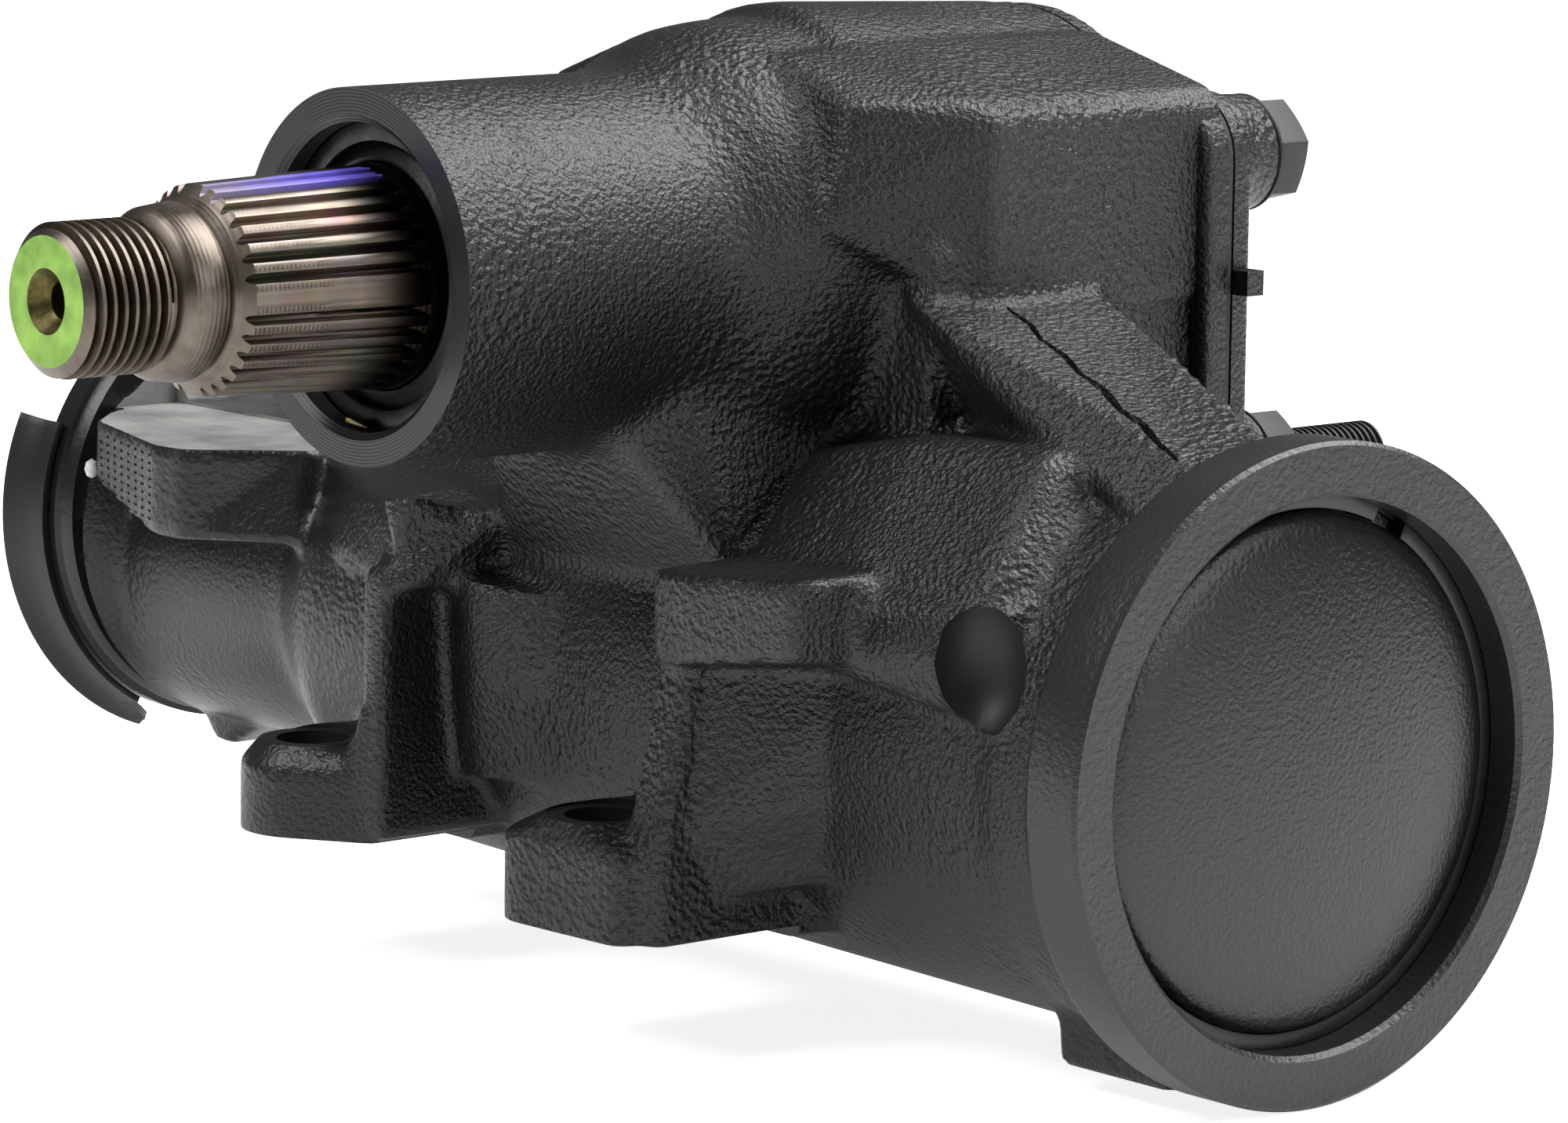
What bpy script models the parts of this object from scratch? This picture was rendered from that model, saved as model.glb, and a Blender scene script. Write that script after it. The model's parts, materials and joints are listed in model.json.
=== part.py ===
"""Recirculating-ball power steering gearbox, modelled as the pieces that come apart on a bench.

All sizes are in millimetres and become metres when a mesh is made. The design frame has X along the
piston, with the end cover at +X. The sector shaft lies parallel to Y, SHAFT_RISE above the piston, with
its threaded end at -Y. Z is up.
"""

import math

import bmesh
import bpy
from mathutils import Matrix, Vector

MM = 0.001
CLEAR = 0.3          # between pieces that touch or turn in each other
TAU = 2 * math.pi
ROUND = 28           # facets of the large turned surfaces
FINE = 16            # facets of shafts and rings
SMALL = 12           # facets of holes and screws

# Gear geometry
SHAFT_RISE = 66.3
TEETH_ROUND = 12     # teeth that the sector would have if it were a whole gear
PITCH_R = 37.8
PRESSURE = math.radians(25)
TOOTH_ADDENDUM = 4.3
TOOTH_DEDENDUM = 4.9
TOOTH_CLEAR = 0.28   # flank clearance, on each side of a tooth
SECTOR_TEETH = 3
STEERING_RATIO = 16
SECTOR_SWING = math.radians(36)

# Piston and its bore
PISTON_BORE_R = 35.5
PISTON_LEFT = -36.0
PISTON_RIGHT = 72.0
BORE_LEFT = -62.0
PISTON_RING_X = 60.0
PISTON_RING_W = 4.0
PISTON_RING_DEPTH = 3.0
END_PLUG_LENGTH = 8.0

# Ball screw
BALL_R = 3.57
BALL_PITCH_R = 13.0
BALL_CLEAR = 0.45
BALL_COUNT = 9
BALL_TURNS = 2
BALLS_FROM_X = -25.0
TRACK_STEPS = 8     # stations of the ball track in one turn of the worm
WORM_R = 12.7
WORM_LEFT = -54.0
WORM_RIGHT = 34.0

# Casting, outside
BODY_WALL = 6.0       # round the piston bore
RING_FACE_X = 113.5
RING_BAND = 11.0
NECK_WALL = 3.9       # outside the counterbore, behind the ring
CONE_RIGHT_X = -66.0
CONE_MIDDLE_X = -80.0
CONE_MIDDLE_R = 33.0
CONE_LEFT_X = -92.0
VALVE_R = 28.2
VALVE_END_X = -157.0
RIM_R = 37.1
RIM_RISE = 8.3       # centre of the rim above the axis of the piston
RIM_GROOVE = 0.9
RIM_LAND = 6.4
RIM_GROOVE_W = 1.1
RIM_FOOT_W = 4.1
BOSS_R = 27.2
BOSS_FACE_Y = -86.6
FLARE_FRONT_Y = -49.0
FLARE_BACK_Y = -21.0
CHAMBER_R = 36.6
JOINT_STEP = 1.9      # from the cylinder to the joint of the side cover

# End cover
COUNTERBORE_STEP = 4.6   # from the piston bore to the counterbore
RING_WALL = 8.0          # ring outside its counterbore
COUNTERBORE_X = 99.3
SNAP_GROOVE_X = 105.2
SNAP_RING_T = 2.1
SNAP_GROOVE_DEPTH = 2.0
DOME_STEP = 5.5          # from the counterbore to the foot of the dome
RING_GAP = 3.1           # from the foot of the dome to the retaining ring

# Side cover
COVER_BOLT_X = 40.0
COVER_BOLT_HIGH = 80.6
COVER_BOLT_LOW = 32.1
COVER_CORNER_R = 10.9
COVER_CROWN_R = 38.0
COVER_BOTTOM_Z = 15.0
COVER_PLATE_T = 4.0
GASKET_T = 0.8
CORNER_BOSS_R = 9.0
CORNER_BOSS_H = 11.4     # above the joint
BOLT_R = 4.8
BOLT_DEPTH = 14.0
BOLT_HEAD_AF = 14.5
BOLT_HEAD_H = 7.7
BOLT_FLANGE_R = 9.0
BOLT_FLANGE_T = 1.8
STUD_H = 41.4            # above the joint

# Sector shaft
SHAFT_END_Y = -139.9
THREAD_R = 11.1
THREAD_END_Y = -126.0
NECK_SHAFT_R = 10.2
SPLINE_FRONT_Y = -116.5
SPLINE_BACK_Y = -93.0
SPLINE_FRONT_R = 15.2
SPLINE_BACK_R = 16.0
SPLINE_COUNT = 32
SPLINE_DEPTH = 1.3
JOURNAL_R = 16.5
SECTOR_FRONT_Y = -11.0
SECTOR_BACK_Y = 15.0
TAIL_R = 15.6
TAIL_STEP = 2.6          # from the tail's end to the joint
HUB_R = 24.0

# Sector shaft seals, from the face inwards
SEAL_BORE_R = 22.6
SEAL_BORE_Y = -66.0
BEARING_BORE_R = 21.3
BEARING_BORE_Y = -44.0
OIL_SEAL_T = 8.0
SEAL_WASHER_T = 1.4
SHAFT_RING_T = 1.6
SHAFT_RING_DEPTH = 1.2
SHAFT_RING_INSET = 4.0
SHAFT_BORE_R = 17.2

# Adjuster in the side cover
ADJUSTER_R = 5.0
ADJUSTER_HEAD_R = 9.0
ADJUSTER_HEAD_T = 4.6
ADJUSTER_H = 29.4        # above the joint
COVER_HUB_R = 25.0
COVER_HUB_Y = 18.0
BUSH_WALL = 2.4
COVER_DOME_H = 10.4      # above the joint
ADJUSTER_BOSS_R = 11.0
ADJUSTER_BOSS_H = 16.4   # above the joint
LOCK_NUT_AF = 19.0
LOCK_NUT_H = 6.5

# Valve end
VALVE_BORE_R = 22.3
PLUG_BORE_R = 24.2
PLUG_BORE_X = -118.2
BEARING_SHOULDER_X = -66.0
WORM_HOLE_R = 16.0
THRUST_T = 2.4
WORM_FLANGE_R = 20.0
WORM_FLANGE_T = 5.2
SLEEVE_LENGTH = 36.2
SLEEVE_BORE_R = 14.5
SPOOL_SLOTS = 6
STUB_R = 9.7
STUB_END_X = -189.2
TANG_HALF = 6.0
TANG_SLOT_HALF = 7.1
TANG_LENGTH = 8.0
TORSION_R = 3.3
TORSION_RIGHT_X = 26.0
PLUG_END_X = -165.2
PLUG_NUT_R = 28.2
PLUG_NUT_T = 5.8
STUB_SEAL_T = 7.0

# Shield round the input
SHIELD_OVERLAP = 4.0  # of the shield and the rim
SHIELD_REACH = 8.0
SHIELD_FLARE = 2.9
SHIELD_T = 1.0
SHIELD_IN = (math.radians(67), math.radians(149))
SHIELD_OUT = (math.radians(65), math.radians(161))

# Hose ports
PORT_Y = 8.0
PRESSURE_PORT_X = -105.2
RETURN_PORT_X = -79.5
PORT_BOSS_R = 12.0
PORT_TOP_Z = 42.0
PORT_BORE_R = 8.2
PORT_SEAT_Z = 27.0
PORT_SEAT_T = 6.0
PORT_DRILL_R = 3.5

# Mounting ears, their webs and pads
EAR_HOLE_R = 5.8
EAR_TOP_Z = -12.8
EAR_EDGE_Z = -16.8
EAR1_X, EAR1_Y = -58.0, -51.5
EAR1_R = 11.2
EAR1_BOTTOM_Z = -27.6
EAR2_X, EAR2_Y = 18.5, -54.5
EAR2_LEFT, EAR2_RIGHT = 6.0, 34.0
EAR2_FRONT_Y = -63.0
EAR2_BOTTOM_Z = -29.8
WEB1_T = 5.6
WEB2_T = 8.0
WEB1_RIGHT = -37.0
WEB2_RIGHT = 38.0
WEB_FRONT_Y = -53.0
PAD_FRONT_Y = -57.0
PAD1_X, PAD1_FRONT_Y = -103.4, -49.2
PAD1_TOP_Z, PAD1_BOTTOM_Z = 27.0, 12.0

# Worked out
BODY_R = PISTON_BORE_R + BODY_WALL
COUNTERBORE_R = PISTON_BORE_R + COUNTERBORE_STEP
RING_R = COUNTERBORE_R + RING_WALL
NECK_R = COUNTERBORE_R + NECK_WALL
DOME_BASE_R = COUNTERBORE_R - DOME_STEP
SNAP_RING_IN_R = DOME_BASE_R + RING_GAP
JOINT_Y = math.sqrt(BODY_R ** 2 - COVER_BOTTOM_Z ** 2) + JOINT_STEP
CORNER_BOSS_Y = JOINT_Y + CORNER_BOSS_H
COVER_DOME_Y = JOINT_Y + COVER_DOME_H
ADJUSTER_BOSS_Y = JOINT_Y + ADJUSTER_BOSS_H
ADJUSTER_END_Y = JOINT_Y + ADJUSTER_H
STUD_END_Y = JOINT_Y + STUD_H
TAIL_END_Y = JOINT_Y - TAIL_STEP
BUSH_R = TAIL_R + 0.5
ROOT_R = PITCH_R - TOOTH_DEDENDUM
TIP_R = PITCH_R + TOOTH_ADDENDUM
RACK_PITCH = TAU * PITCH_R / TEETH_ROUND
RACK_LINE_Z = SHAFT_RISE - PITCH_R
RACK_TOP_Z = RACK_LINE_Z + TOOTH_DEDENDUM - 0.7
RACK_ROOT_Z = RACK_LINE_Z - TOOTH_ADDENDUM - 0.6
PISTON_R = PISTON_BORE_R - CLEAR
PISTON_TRAVEL = PITCH_R * SECTOR_SWING
LEAD = TAU * PITCH_R / STEERING_RATIO
RACK_FLAT_RIGHT = PISTON_TRAVEL + math.sqrt(ROOT_R ** 2 - (SHAFT_RISE - PISTON_R) ** 2) + 1.5
CAVITY_R = TIP_R + 0.9
SWEEP_HALF_X = TIP_R * math.sin(SECTOR_SWING + math.radians(30 + 4)) + 1.0
RING_BACK_X = RING_FACE_X - RING_BAND
GASKET_Y = JOINT_Y + CLEAR
COVER_Y = GASKET_Y + GASKET_T + CLEAR
COVER_OUT_Y = COVER_Y + COVER_PLATE_T
FLANGE_LEFT_X = BEARING_SHOULDER_X - CLEAR - THRUST_T - CLEAR - WORM_FLANGE_T
SLEEVE_RIGHT_X = FLANGE_LEFT_X - CLEAR
SLEEVE_LEFT_X = SLEEVE_RIGHT_X - SLEEVE_LENGTH
PLUG_RIGHT_X = SLEEVE_LEFT_X - CLEAR - THRUST_T - CLEAR
ORIGIN = Vector((-(RING_FACE_X + STUB_END_X) / 2, -(STUD_END_Y + SHAFT_END_Y) / 2, RING_R))


for old in list(bpy.data.objects):
    bpy.data.objects.remove(old)


def material(name, colour, roughness, metallic=0.0):
    """A plain finish from an sRGB hex colour."""
    made = bpy.data.materials.new(name)
    made.use_nodes = True
    shader = made.node_tree.nodes["Principled BSDF"]
    parts = [int(colour[i:i + 2], 16) / 255 for i in (1, 3, 5)]
    linear = [c / 12.92 if c < 0.04045 else ((c + 0.055) / 1.055) ** 2.4 for c in parts]
    shader.inputs["Base Color"].default_value = (*linear, 1)
    shader.inputs["Roughness"].default_value = roughness
    shader.inputs["Metallic"].default_value = metallic
    return made


PAINTED_IRON = material("painted_iron", "#232427", 0.45)
PAINTED_STEEL = material("painted_steel", "#1d1e20", 0.4)
BARE_STEEL = material("bare_steel", "#8f8880", 0.35, 1.0)
GROUND_STEEL = material("ground_steel", "#a9a8a4", 0.22, 1.0)
SPRING_STEEL = material("spring_steel", "#3b3b3d", 0.35, 1.0)
BRASS = material("brass", "#b08d4a", 0.35, 1.0)
RUBBER = material("rubber", "#151515", 0.75)
NYLON = material("nylon", "#1b1c1d", 0.55)
GASKET = material("gasket", "#2f2d2a", 0.8)
TEFLON = material("teflon", "#6b5b43", 0.5)


def on_axis(axis, along, u, v):
    """A point from its place along an axis and its two offsets across it."""
    return {"X": (along, u, v), "Y": (u, along, v), "Z": (u, v, along)}[axis]


def solid(name, bm, finish=None):
    """Turn a working mesh into an object, still in millimetres."""
    bmesh.ops.recalc_face_normals(bm, faces=bm.faces)
    mesh = bpy.data.meshes.new(name)
    bm.to_mesh(mesh)
    bm.free()
    made = bpy.data.objects.new(name, mesh)
    bpy.context.scene.collection.objects.link(made)
    if finish:
        mesh.materials.append(finish)
    return made


def turned(profile, axis, facets=FINE, at=(0, 0, 0), turn=0.0):
    """Spin a closed outline of (place along the axis, radius) points round the axis."""
    bm = bmesh.new()
    rings = []
    for along, radius in profile:
        if radius == 0:
            rings.append([bm.verts.new(on_axis(axis, along, 0, 0))] * facets)
            continue
        angles = [turn + TAU * step / facets for step in range(facets)]
        rings.append([bm.verts.new(on_axis(axis, along, radius * math.cos(a), radius * math.sin(a)))
                      for a in angles])
    for ring, following in zip(rings, rings[1:] + rings[:1]):
        for step in range(facets):
            after = (step + 1) % facets
            corners = list(dict.fromkeys([ring[step], ring[after], following[after], following[step]]))
            if len(corners) > 2:
                bm.faces.new(corners)
    bmesh.ops.translate(bm, vec=at, verts=bm.verts)
    return bm


def rod(axis, low, high, radius, facets=SMALL, at=(0, 0, 0), turn=0.0):
    return turned([(low, 0), (low, radius), (high, radius), (high, 0)], axis, facets, at, turn)


def tube(axis, low, high, inner, outer, facets=FINE, at=(0, 0, 0)):
    return turned([(low, inner), (low, outer), (high, outer), (high, inner)], axis, facets, at)


def extruded(outline, axis, low, high):
    """Push a flat outline of points across the axis from low to high."""
    bm = bmesh.new()
    near = [bm.verts.new(on_axis(axis, low, u, v)) for u, v in outline]
    far = [bm.verts.new(on_axis(axis, high, u, v)) for u, v in outline]
    bm.faces.new(near)
    bm.faces.new(far)
    for i in range(len(outline)):
        after = (i + 1) % len(outline)
        bm.faces.new([near[i], near[after], far[after], far[i]])
    return bm


def hull(points):
    """The smallest convex block round a few points, for pads, lugs and ribs."""
    bm = bmesh.new()
    for point in points:
        bm.verts.new(point)
    made = bmesh.ops.convex_hull(bm, input=bm.verts)
    bmesh.ops.delete(bm, geom=[v for v in made["geom_interior"] if v.is_valid], context="VERTS")
    bmesh.ops.dissolve_limit(bm, angle_limit=math.radians(0.5), verts=bm.verts, edges=bm.edges)
    return bm


def box(low, high):
    return hull([(x, y, z) for x in (low[0], high[0]) for y in (low[1], high[1]) for z in (low[2], high[2])])


def arc(u, v, radius, start, end, steps):
    """Points on an arc, with its angles in degrees."""
    angles = [math.radians(start + (end - start) * i / steps) for i in range(steps + 1)]
    return [(u + radius * math.cos(a), v + radius * math.sin(a)) for a in angles]


def mirrored(half):
    """Add the left half of an outline to its right half, which runs from the top to the bottom."""
    return half + [(-u, v) for u, v in reversed(half) if abs(u) > 1e-6]


def apply_boolean(target, bm, operation):
    """Join a working mesh to an object, or cut it away, and keep the plain result."""
    tool = solid(target.name + "_tool", bm)
    step = target.modifiers.new(operation.title(), "BOOLEAN")
    step.operation = operation
    step.solver = "EXACT"
    step.object = tool
    bpy.context.view_layer.update()
    graph = bpy.context.evaluated_depsgraph_get()
    before = target.data
    target.data = bpy.data.meshes.new_from_object(target.evaluated_get(graph))
    target.modifiers.clear()
    bpy.data.meshes.remove(before)
    bpy.data.objects.remove(tool)
    flat = bmesh.new()
    flat.from_mesh(target.data)
    bmesh.ops.triangulate(flat, faces=flat.faces)
    flat.to_mesh(target.data)
    flat.free()
    return target


def join(target, *tools):
    for bm in tools:
        apply_boolean(target, bm, "UNION")
    return target


def cut(target, *tools):
    for bm in tools:
        apply_boolean(target, bm, "DIFFERENCE")
    return target


def tidy(target, finish):
    """Weld slivers, bring the piece to metres, shade it and give the finish."""
    bm = bmesh.new()
    bm.from_mesh(target.data)
    bmesh.ops.remove_doubles(bm, verts=bm.verts, dist=0.002)
    bmesh.ops.dissolve_degenerate(bm, edges=bm.edges, dist=0.001)
    bmesh.ops.dissolve_limit(bm, angle_limit=math.radians(0.2), verts=bm.verts, edges=bm.edges)
    bmesh.ops.triangulate(bm, faces=bm.faces)
    bmesh.ops.scale(bm, vec=(MM, MM, MM), verts=bm.verts)
    bm.to_mesh(target.data)
    bm.free()
    target.data.materials.clear()
    target.data.materials.append(finish)
    target.data.shade_smooth()
    target.data.set_sharp_from_angle(angle=math.radians(32))
    return target


def frame(name, parent, at):
    """An empty that carries the pieces of one moving body."""
    made = bpy.data.objects.new(name, None)
    made.empty_display_size = 0.02
    made.location = Vector(at) * MM
    made.parent = parent
    bpy.context.scene.collection.objects.link(made)
    return made


def put(parent, *pieces):
    for piece in pieces:
        piece.parent = parent


def eased(low, high, steps):
    """Pairs of (share of the way, eased share) for an S-shaped flare between two radii."""
    shares = [i / steps for i in range(1, steps)]
    return [(t, low + (high - low) * (3 * t * t - 2 * t ** 3)) for t in shares]


# Housing casting

def cover_outline(grow=0.0):
    """Outline of the side cover joint in X and Z: a crown over the shaft and a lug at each bolt."""
    corner = COVER_CORNER_R + grow
    half = [(0, SHAFT_RISE + COVER_CROWN_R + grow)]
    half += arc(0, SHAFT_RISE, COVER_CROWN_R + grow, 74, 44, 2)
    half += arc(COVER_BOLT_X, COVER_BOLT_HIGH, corner, 96, 0, 4)
    half += arc(COVER_BOLT_X, COVER_BOLT_LOW, corner, 0, -50, 3)
    half += [(COVER_BOLT_X - 12, COVER_BOTTOM_Z - grow)]
    return mirrored(half)


def cover_opening(grow=0.0):
    """Opening that the sector passes when the cover is off: a round above, the tooth sweep below."""
    reach = CAVITY_R + 0.5 + grow
    side = PITCH_R * math.sin(math.radians(38)) + 3 + grow
    crown = HUB_R + 9 + grow
    low = math.degrees(math.acos(side / reach))
    top = math.degrees(math.acos(side / crown))
    half = [(0, SHAFT_RISE + crown)] + arc(0, SHAFT_RISE, crown, 68, -top, 4)
    half += arc(0, SHAFT_RISE, reach, -low, -90, 3)
    return mirrored(half)


def sector_sweep():
    """Space that the teeth sweep inside the chamber, below the shaft."""
    turn = math.degrees(math.acos(SWEEP_HALF_X / CAVITY_R))
    half = [(0, SHAFT_RISE + 8), (SWEEP_HALF_X, SHAFT_RISE + 8)]
    half += arc(0, SHAFT_RISE, CAVITY_R, -turn, -90, 7)
    return mirrored(half)


def casting_body():
    """The main cylinder with its ring, and the narrower valve housing."""
    return turned([
        (VALVE_END_X + 1, 0), (VALVE_END_X + 1, VALVE_R), (CONE_LEFT_X, VALVE_R), (CONE_MIDDLE_X, CONE_MIDDLE_R),
        (CONE_RIGHT_X, BODY_R), (RING_BACK_X - 15, BODY_R), (RING_BACK_X - 12.5, NECK_R - 1),
        (RING_BACK_X - 3.5, NECK_R), (RING_BACK_X, RING_R), (RING_FACE_X - 0.7, RING_R),
        (RING_FACE_X, RING_R - 0.7), (RING_FACE_X, 0)], "X", ROUND)


def valve_rim():
    """Rim at the valve end, thicker above the bore, and the foot that leads it into the valve housing."""
    land = VALVE_END_X + RIM_LAND
    foot = land + RIM_GROOVE_W
    rim = turned([(VALVE_END_X, 0), (VALVE_END_X, RIM_R - 1), (VALVE_END_X + 1, RIM_R), (land - 0.4, RIM_R),
                  (land, RIM_R - RIM_GROOVE), (foot, RIM_R - RIM_GROOVE), (foot, 0)],
                 "X", ROUND, at=(0, 0, RIM_RISE))
    wide = arc(0, RIM_RISE, RIM_R - RIM_GROOVE - 0.5, 3, 348, 24)
    narrow = arc(0, 0, VALVE_R - 0.7, 3, 348, 24)
    lead = hull([(foot - 1, y, z) for y, z in wide] + [(foot + RIM_FOOT_W, y, z) for y, z in narrow])
    bmesh.ops.triangulate(lead, faces=lead.faces)
    return rim, lead


def shaft_boss():
    """The long boss round the sector shaft, flaring into the gear chamber."""
    flare = [(FLARE_FRONT_Y + (FLARE_BACK_Y - FLARE_FRONT_Y) * t, r)
             for t, r in eased(BOSS_R, CHAMBER_R - 0.4, 4)]
    return turned([(BOSS_FACE_Y, 0), (BOSS_FACE_Y, BOSS_R),
                   (FLARE_FRONT_Y, BOSS_R), *flare, (FLARE_BACK_Y, CHAMBER_R - 0.4),
                   (JOINT_Y, CHAMBER_R), (JOINT_Y, 0)], "Y", ROUND, at=(0, 0, SHAFT_RISE))


def both(points):
    return points + [(-x, y, z) for x, y, z in points]


def chamber_block():
    """Flat-sided block round the gear chamber, with a sloping shoulder under the crown."""
    back, break_y, front = JOINT_Y, -5, -27
    wide = COVER_BOLT_X + 7.5
    points = []
    for y in (back, break_y):
        points += [(wide, y, 10), (wide, y, 88), (wide - 2.5, y, 91), (19.5, y, 98)]
    points += [(35, front, 26), (35, front, 84), (18, front, 95.5)]
    return hull(both(points))


def pedestal():
    """Wall that carries the boss on the cylinder, narrower at the front than at the chamber."""
    return hull(both([(13, -54, 47), (23, -42, 50), (24, -14, 52), (29, -37, 20), (36, -14, 14)]))


def ear(x, y, outline, bottom):
    """Mounting ear: a slab whose top rises to the bolt's seat."""
    slab = [(u, v, z) for u, v in outline for z in (bottom, EAR_EDGE_Z)]
    seat = [(u, v, EAR_TOP_Z) for u, v in arc(x, y, EAR_HOLE_R + 2.2, 0, 330, 11)]
    seat += [(x + 6, -34, EAR_TOP_Z), (x - 4, -34, EAR_TOP_Z)]
    return hull(slab + seat)


def ear_one():
    outline = arc(EAR1_X, EAR1_Y, EAR1_R, 160, 310, 9)
    return ear(EAR1_X, EAR1_Y, outline + [(WEB1_RIGHT, WEB_FRONT_Y), (WEB1_RIGHT, -22), (-66, -22)],
               EAR1_BOTTOM_Z)


def ear_two():
    outline = arc(EAR2_LEFT + 7, EAR2_FRONT_Y + 7, 7, 180, 270, 4)
    outline += arc(EAR2_RIGHT - 1.5, EAR2_FRONT_Y + 1.5, 1.5, 270, 360, 2)
    return ear(EAR2_X, EAR2_Y, outline + [(WEB2_RIGHT + 2, -20), (EAR2_LEFT + 2, -20)], EAR2_BOTTOM_Z)


def web(right, thick, bottom, top, foot_y):
    """Upright web between an ear and its pad, with a foot that reaches out along the ear."""
    return hull([(x, y, z) for x in (right - thick, right)
                 for y, z in ((WEB_FRONT_Y, top), (-22, top), (-22, bottom), (foot_y, bottom),
                              (foot_y, EAR_EDGE_Z), (WEB_FRONT_Y - 1, EAR_TOP_Z + 6))])


def pad_one():
    """Block on the valve side with a flat top over the valve housing and a corner that points forward."""
    left = VALVE_END_X + RIM_LAND + RIM_GROOVE_W + 1
    top = [(PAD1_X, PAD1_FRONT_Y), (-136, -39), (-144.5, -30.5), (left, -23), (left, 6), (-86, 6), (-86, -32)]
    bottom = [(PAD1_X, PAD1_FRONT_Y), (-84, -36), (-84, 0), (-118, 0)]
    return hull([(x, y, PAD1_TOP_Z) for x, y in top] + [(x, y, PAD1_BOTTOM_Z) for x, y in bottom] +
                [(-137, -38.5, PAD1_TOP_Z - 10.3), (left, -20, PAD1_TOP_Z - 8), (left, 0, PAD1_TOP_Z - 8)])


def pad_one_tail():
    """Hollowed run from the block to the first web, under the boss."""
    right = WEB1_RIGHT - WEB1_T - 0.3
    low = PAD1_BOTTOM_Z + 0.7
    return hull([(-89, -27, PAD1_TOP_Z - 0.6), (-89, -29, low), (-70, -38, low),
                 (-70, -34, PAD1_TOP_Z - 1.5), (right, WEB_FRONT_Y + 3, low),
                 (right, WEB_FRONT_Y + 5, 22), (WEB1_RIGHT + 2, WEB_FRONT_Y + 1.4, low),
                 (WEB1_RIGHT, WEB_FRONT_Y + 4, 24), (WEB1_RIGHT + 12, -38, 25.5), (-89, -5, PAD1_TOP_Z - 0.6),
                 (WEB1_RIGHT + 12, -10, 25.5), (-89, -5, low), (WEB1_RIGHT + 12, -10, low)])


def pad_two():
    low, high = 11.4, 26
    return hull([(x, y, z) for x, y in ((35, PAD_FRONT_Y + 1.5), (37, PAD_FRONT_Y), (64, PAD_FRONT_Y),
                                        (64, -20), (35, -20)) for z in (low, high)])


def ridge():
    """Ridge from the second pad towards the ring, which stops short of it."""
    end = RING_BACK_X - 16
    return hull([(60, PAD_FRONT_Y + 1, 12), (60, PAD_FRONT_Y + 1, 22), (60, PAD_FRONT_Y + 6, 27),
                 (60, -20, 30), (60, -20, 8),
                 (end, -50, 9), (end, -51, 18), (end, -46, 26), (end, -20, 30), (end, -20, 6)])


def diagonal_rib():
    """Thick rib from the chamber block down to the ring, with a sloping flank on its front."""
    crest = [(44, -1, 61), (44, 18, 63), (RING_BACK_X, -2, 47.7), (RING_BACK_X, -17, 45)]
    flank = [(36.5, -11, 63.5), (66, -12, 43), (40, -20, 40), (RING_BACK_X, -26, 34)]
    return hull(crest + flank + [(x, y, 28) for x, y in ((40, -20), (44, 18), (RING_BACK_X, -2),
                                                        (RING_BACK_X, -26))])


def small_lugs():
    """Foot by the ring and a stub of the valve housing's runner, both under the casting."""
    foot = hull([(x, y, z) for x in (81, RING_BACK_X) for y, z in ((-22, -30), (-20, -44.5), (-9, -46.5),
                                                                  (-7, -30))])
    runner = hull([(x, y, z) for y in (-9, 5)
                   for x, z in ((-148.5, -15), (-147.5, -29), (-145, -31.4), (-141, -31.8), (-130, -26),
                                (-130, -15))])
    return [foot, runner]


def port_boss(x):
    return rod("Z", 10, PORT_TOP_Z, PORT_BOSS_R, FINE, at=(x, PORT_Y, 0))


def port_bore(x):
    return turned([(VALVE_BORE_R - 8, 0), (VALVE_BORE_R - 8, PORT_DRILL_R), (PORT_SEAT_Z, PORT_DRILL_R),
                   (PORT_SEAT_Z, PORT_BORE_R), (PORT_TOP_Z - 1, PORT_BORE_R),
                   (PORT_TOP_Z + 0.5, PORT_BORE_R + 1.5), (PORT_TOP_Z + 0.5, 0)],
                  "Z", FINE, at=(x, PORT_Y, 0))


def main_bore():
    """Everything turned on the piston axis: piston bore, counterbore, snap groove, valve and plug bores."""
    groove_end = SNAP_GROOVE_X + SNAP_RING_T + 2 * CLEAR
    return turned([
        (VALVE_END_X - 2, 0), (VALVE_END_X - 2, PLUG_BORE_R), (PLUG_BORE_X, PLUG_BORE_R),
        (PLUG_BORE_X, VALVE_BORE_R), (BEARING_SHOULDER_X, VALVE_BORE_R),
        (BEARING_SHOULDER_X, WORM_HOLE_R), (BORE_LEFT, WORM_HOLE_R), (BORE_LEFT, PISTON_BORE_R),
        (COUNTERBORE_X, PISTON_BORE_R), (COUNTERBORE_X, COUNTERBORE_R), (SNAP_GROOVE_X, COUNTERBORE_R),
        (SNAP_GROOVE_X, COUNTERBORE_R + SNAP_GROOVE_DEPTH), (groove_end, COUNTERBORE_R + SNAP_GROOVE_DEPTH),
        (groove_end, COUNTERBORE_R), (RING_FACE_X + 0.8, COUNTERBORE_R),
        (RING_FACE_X + 0.8, 0)], "X", ROUND)


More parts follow.
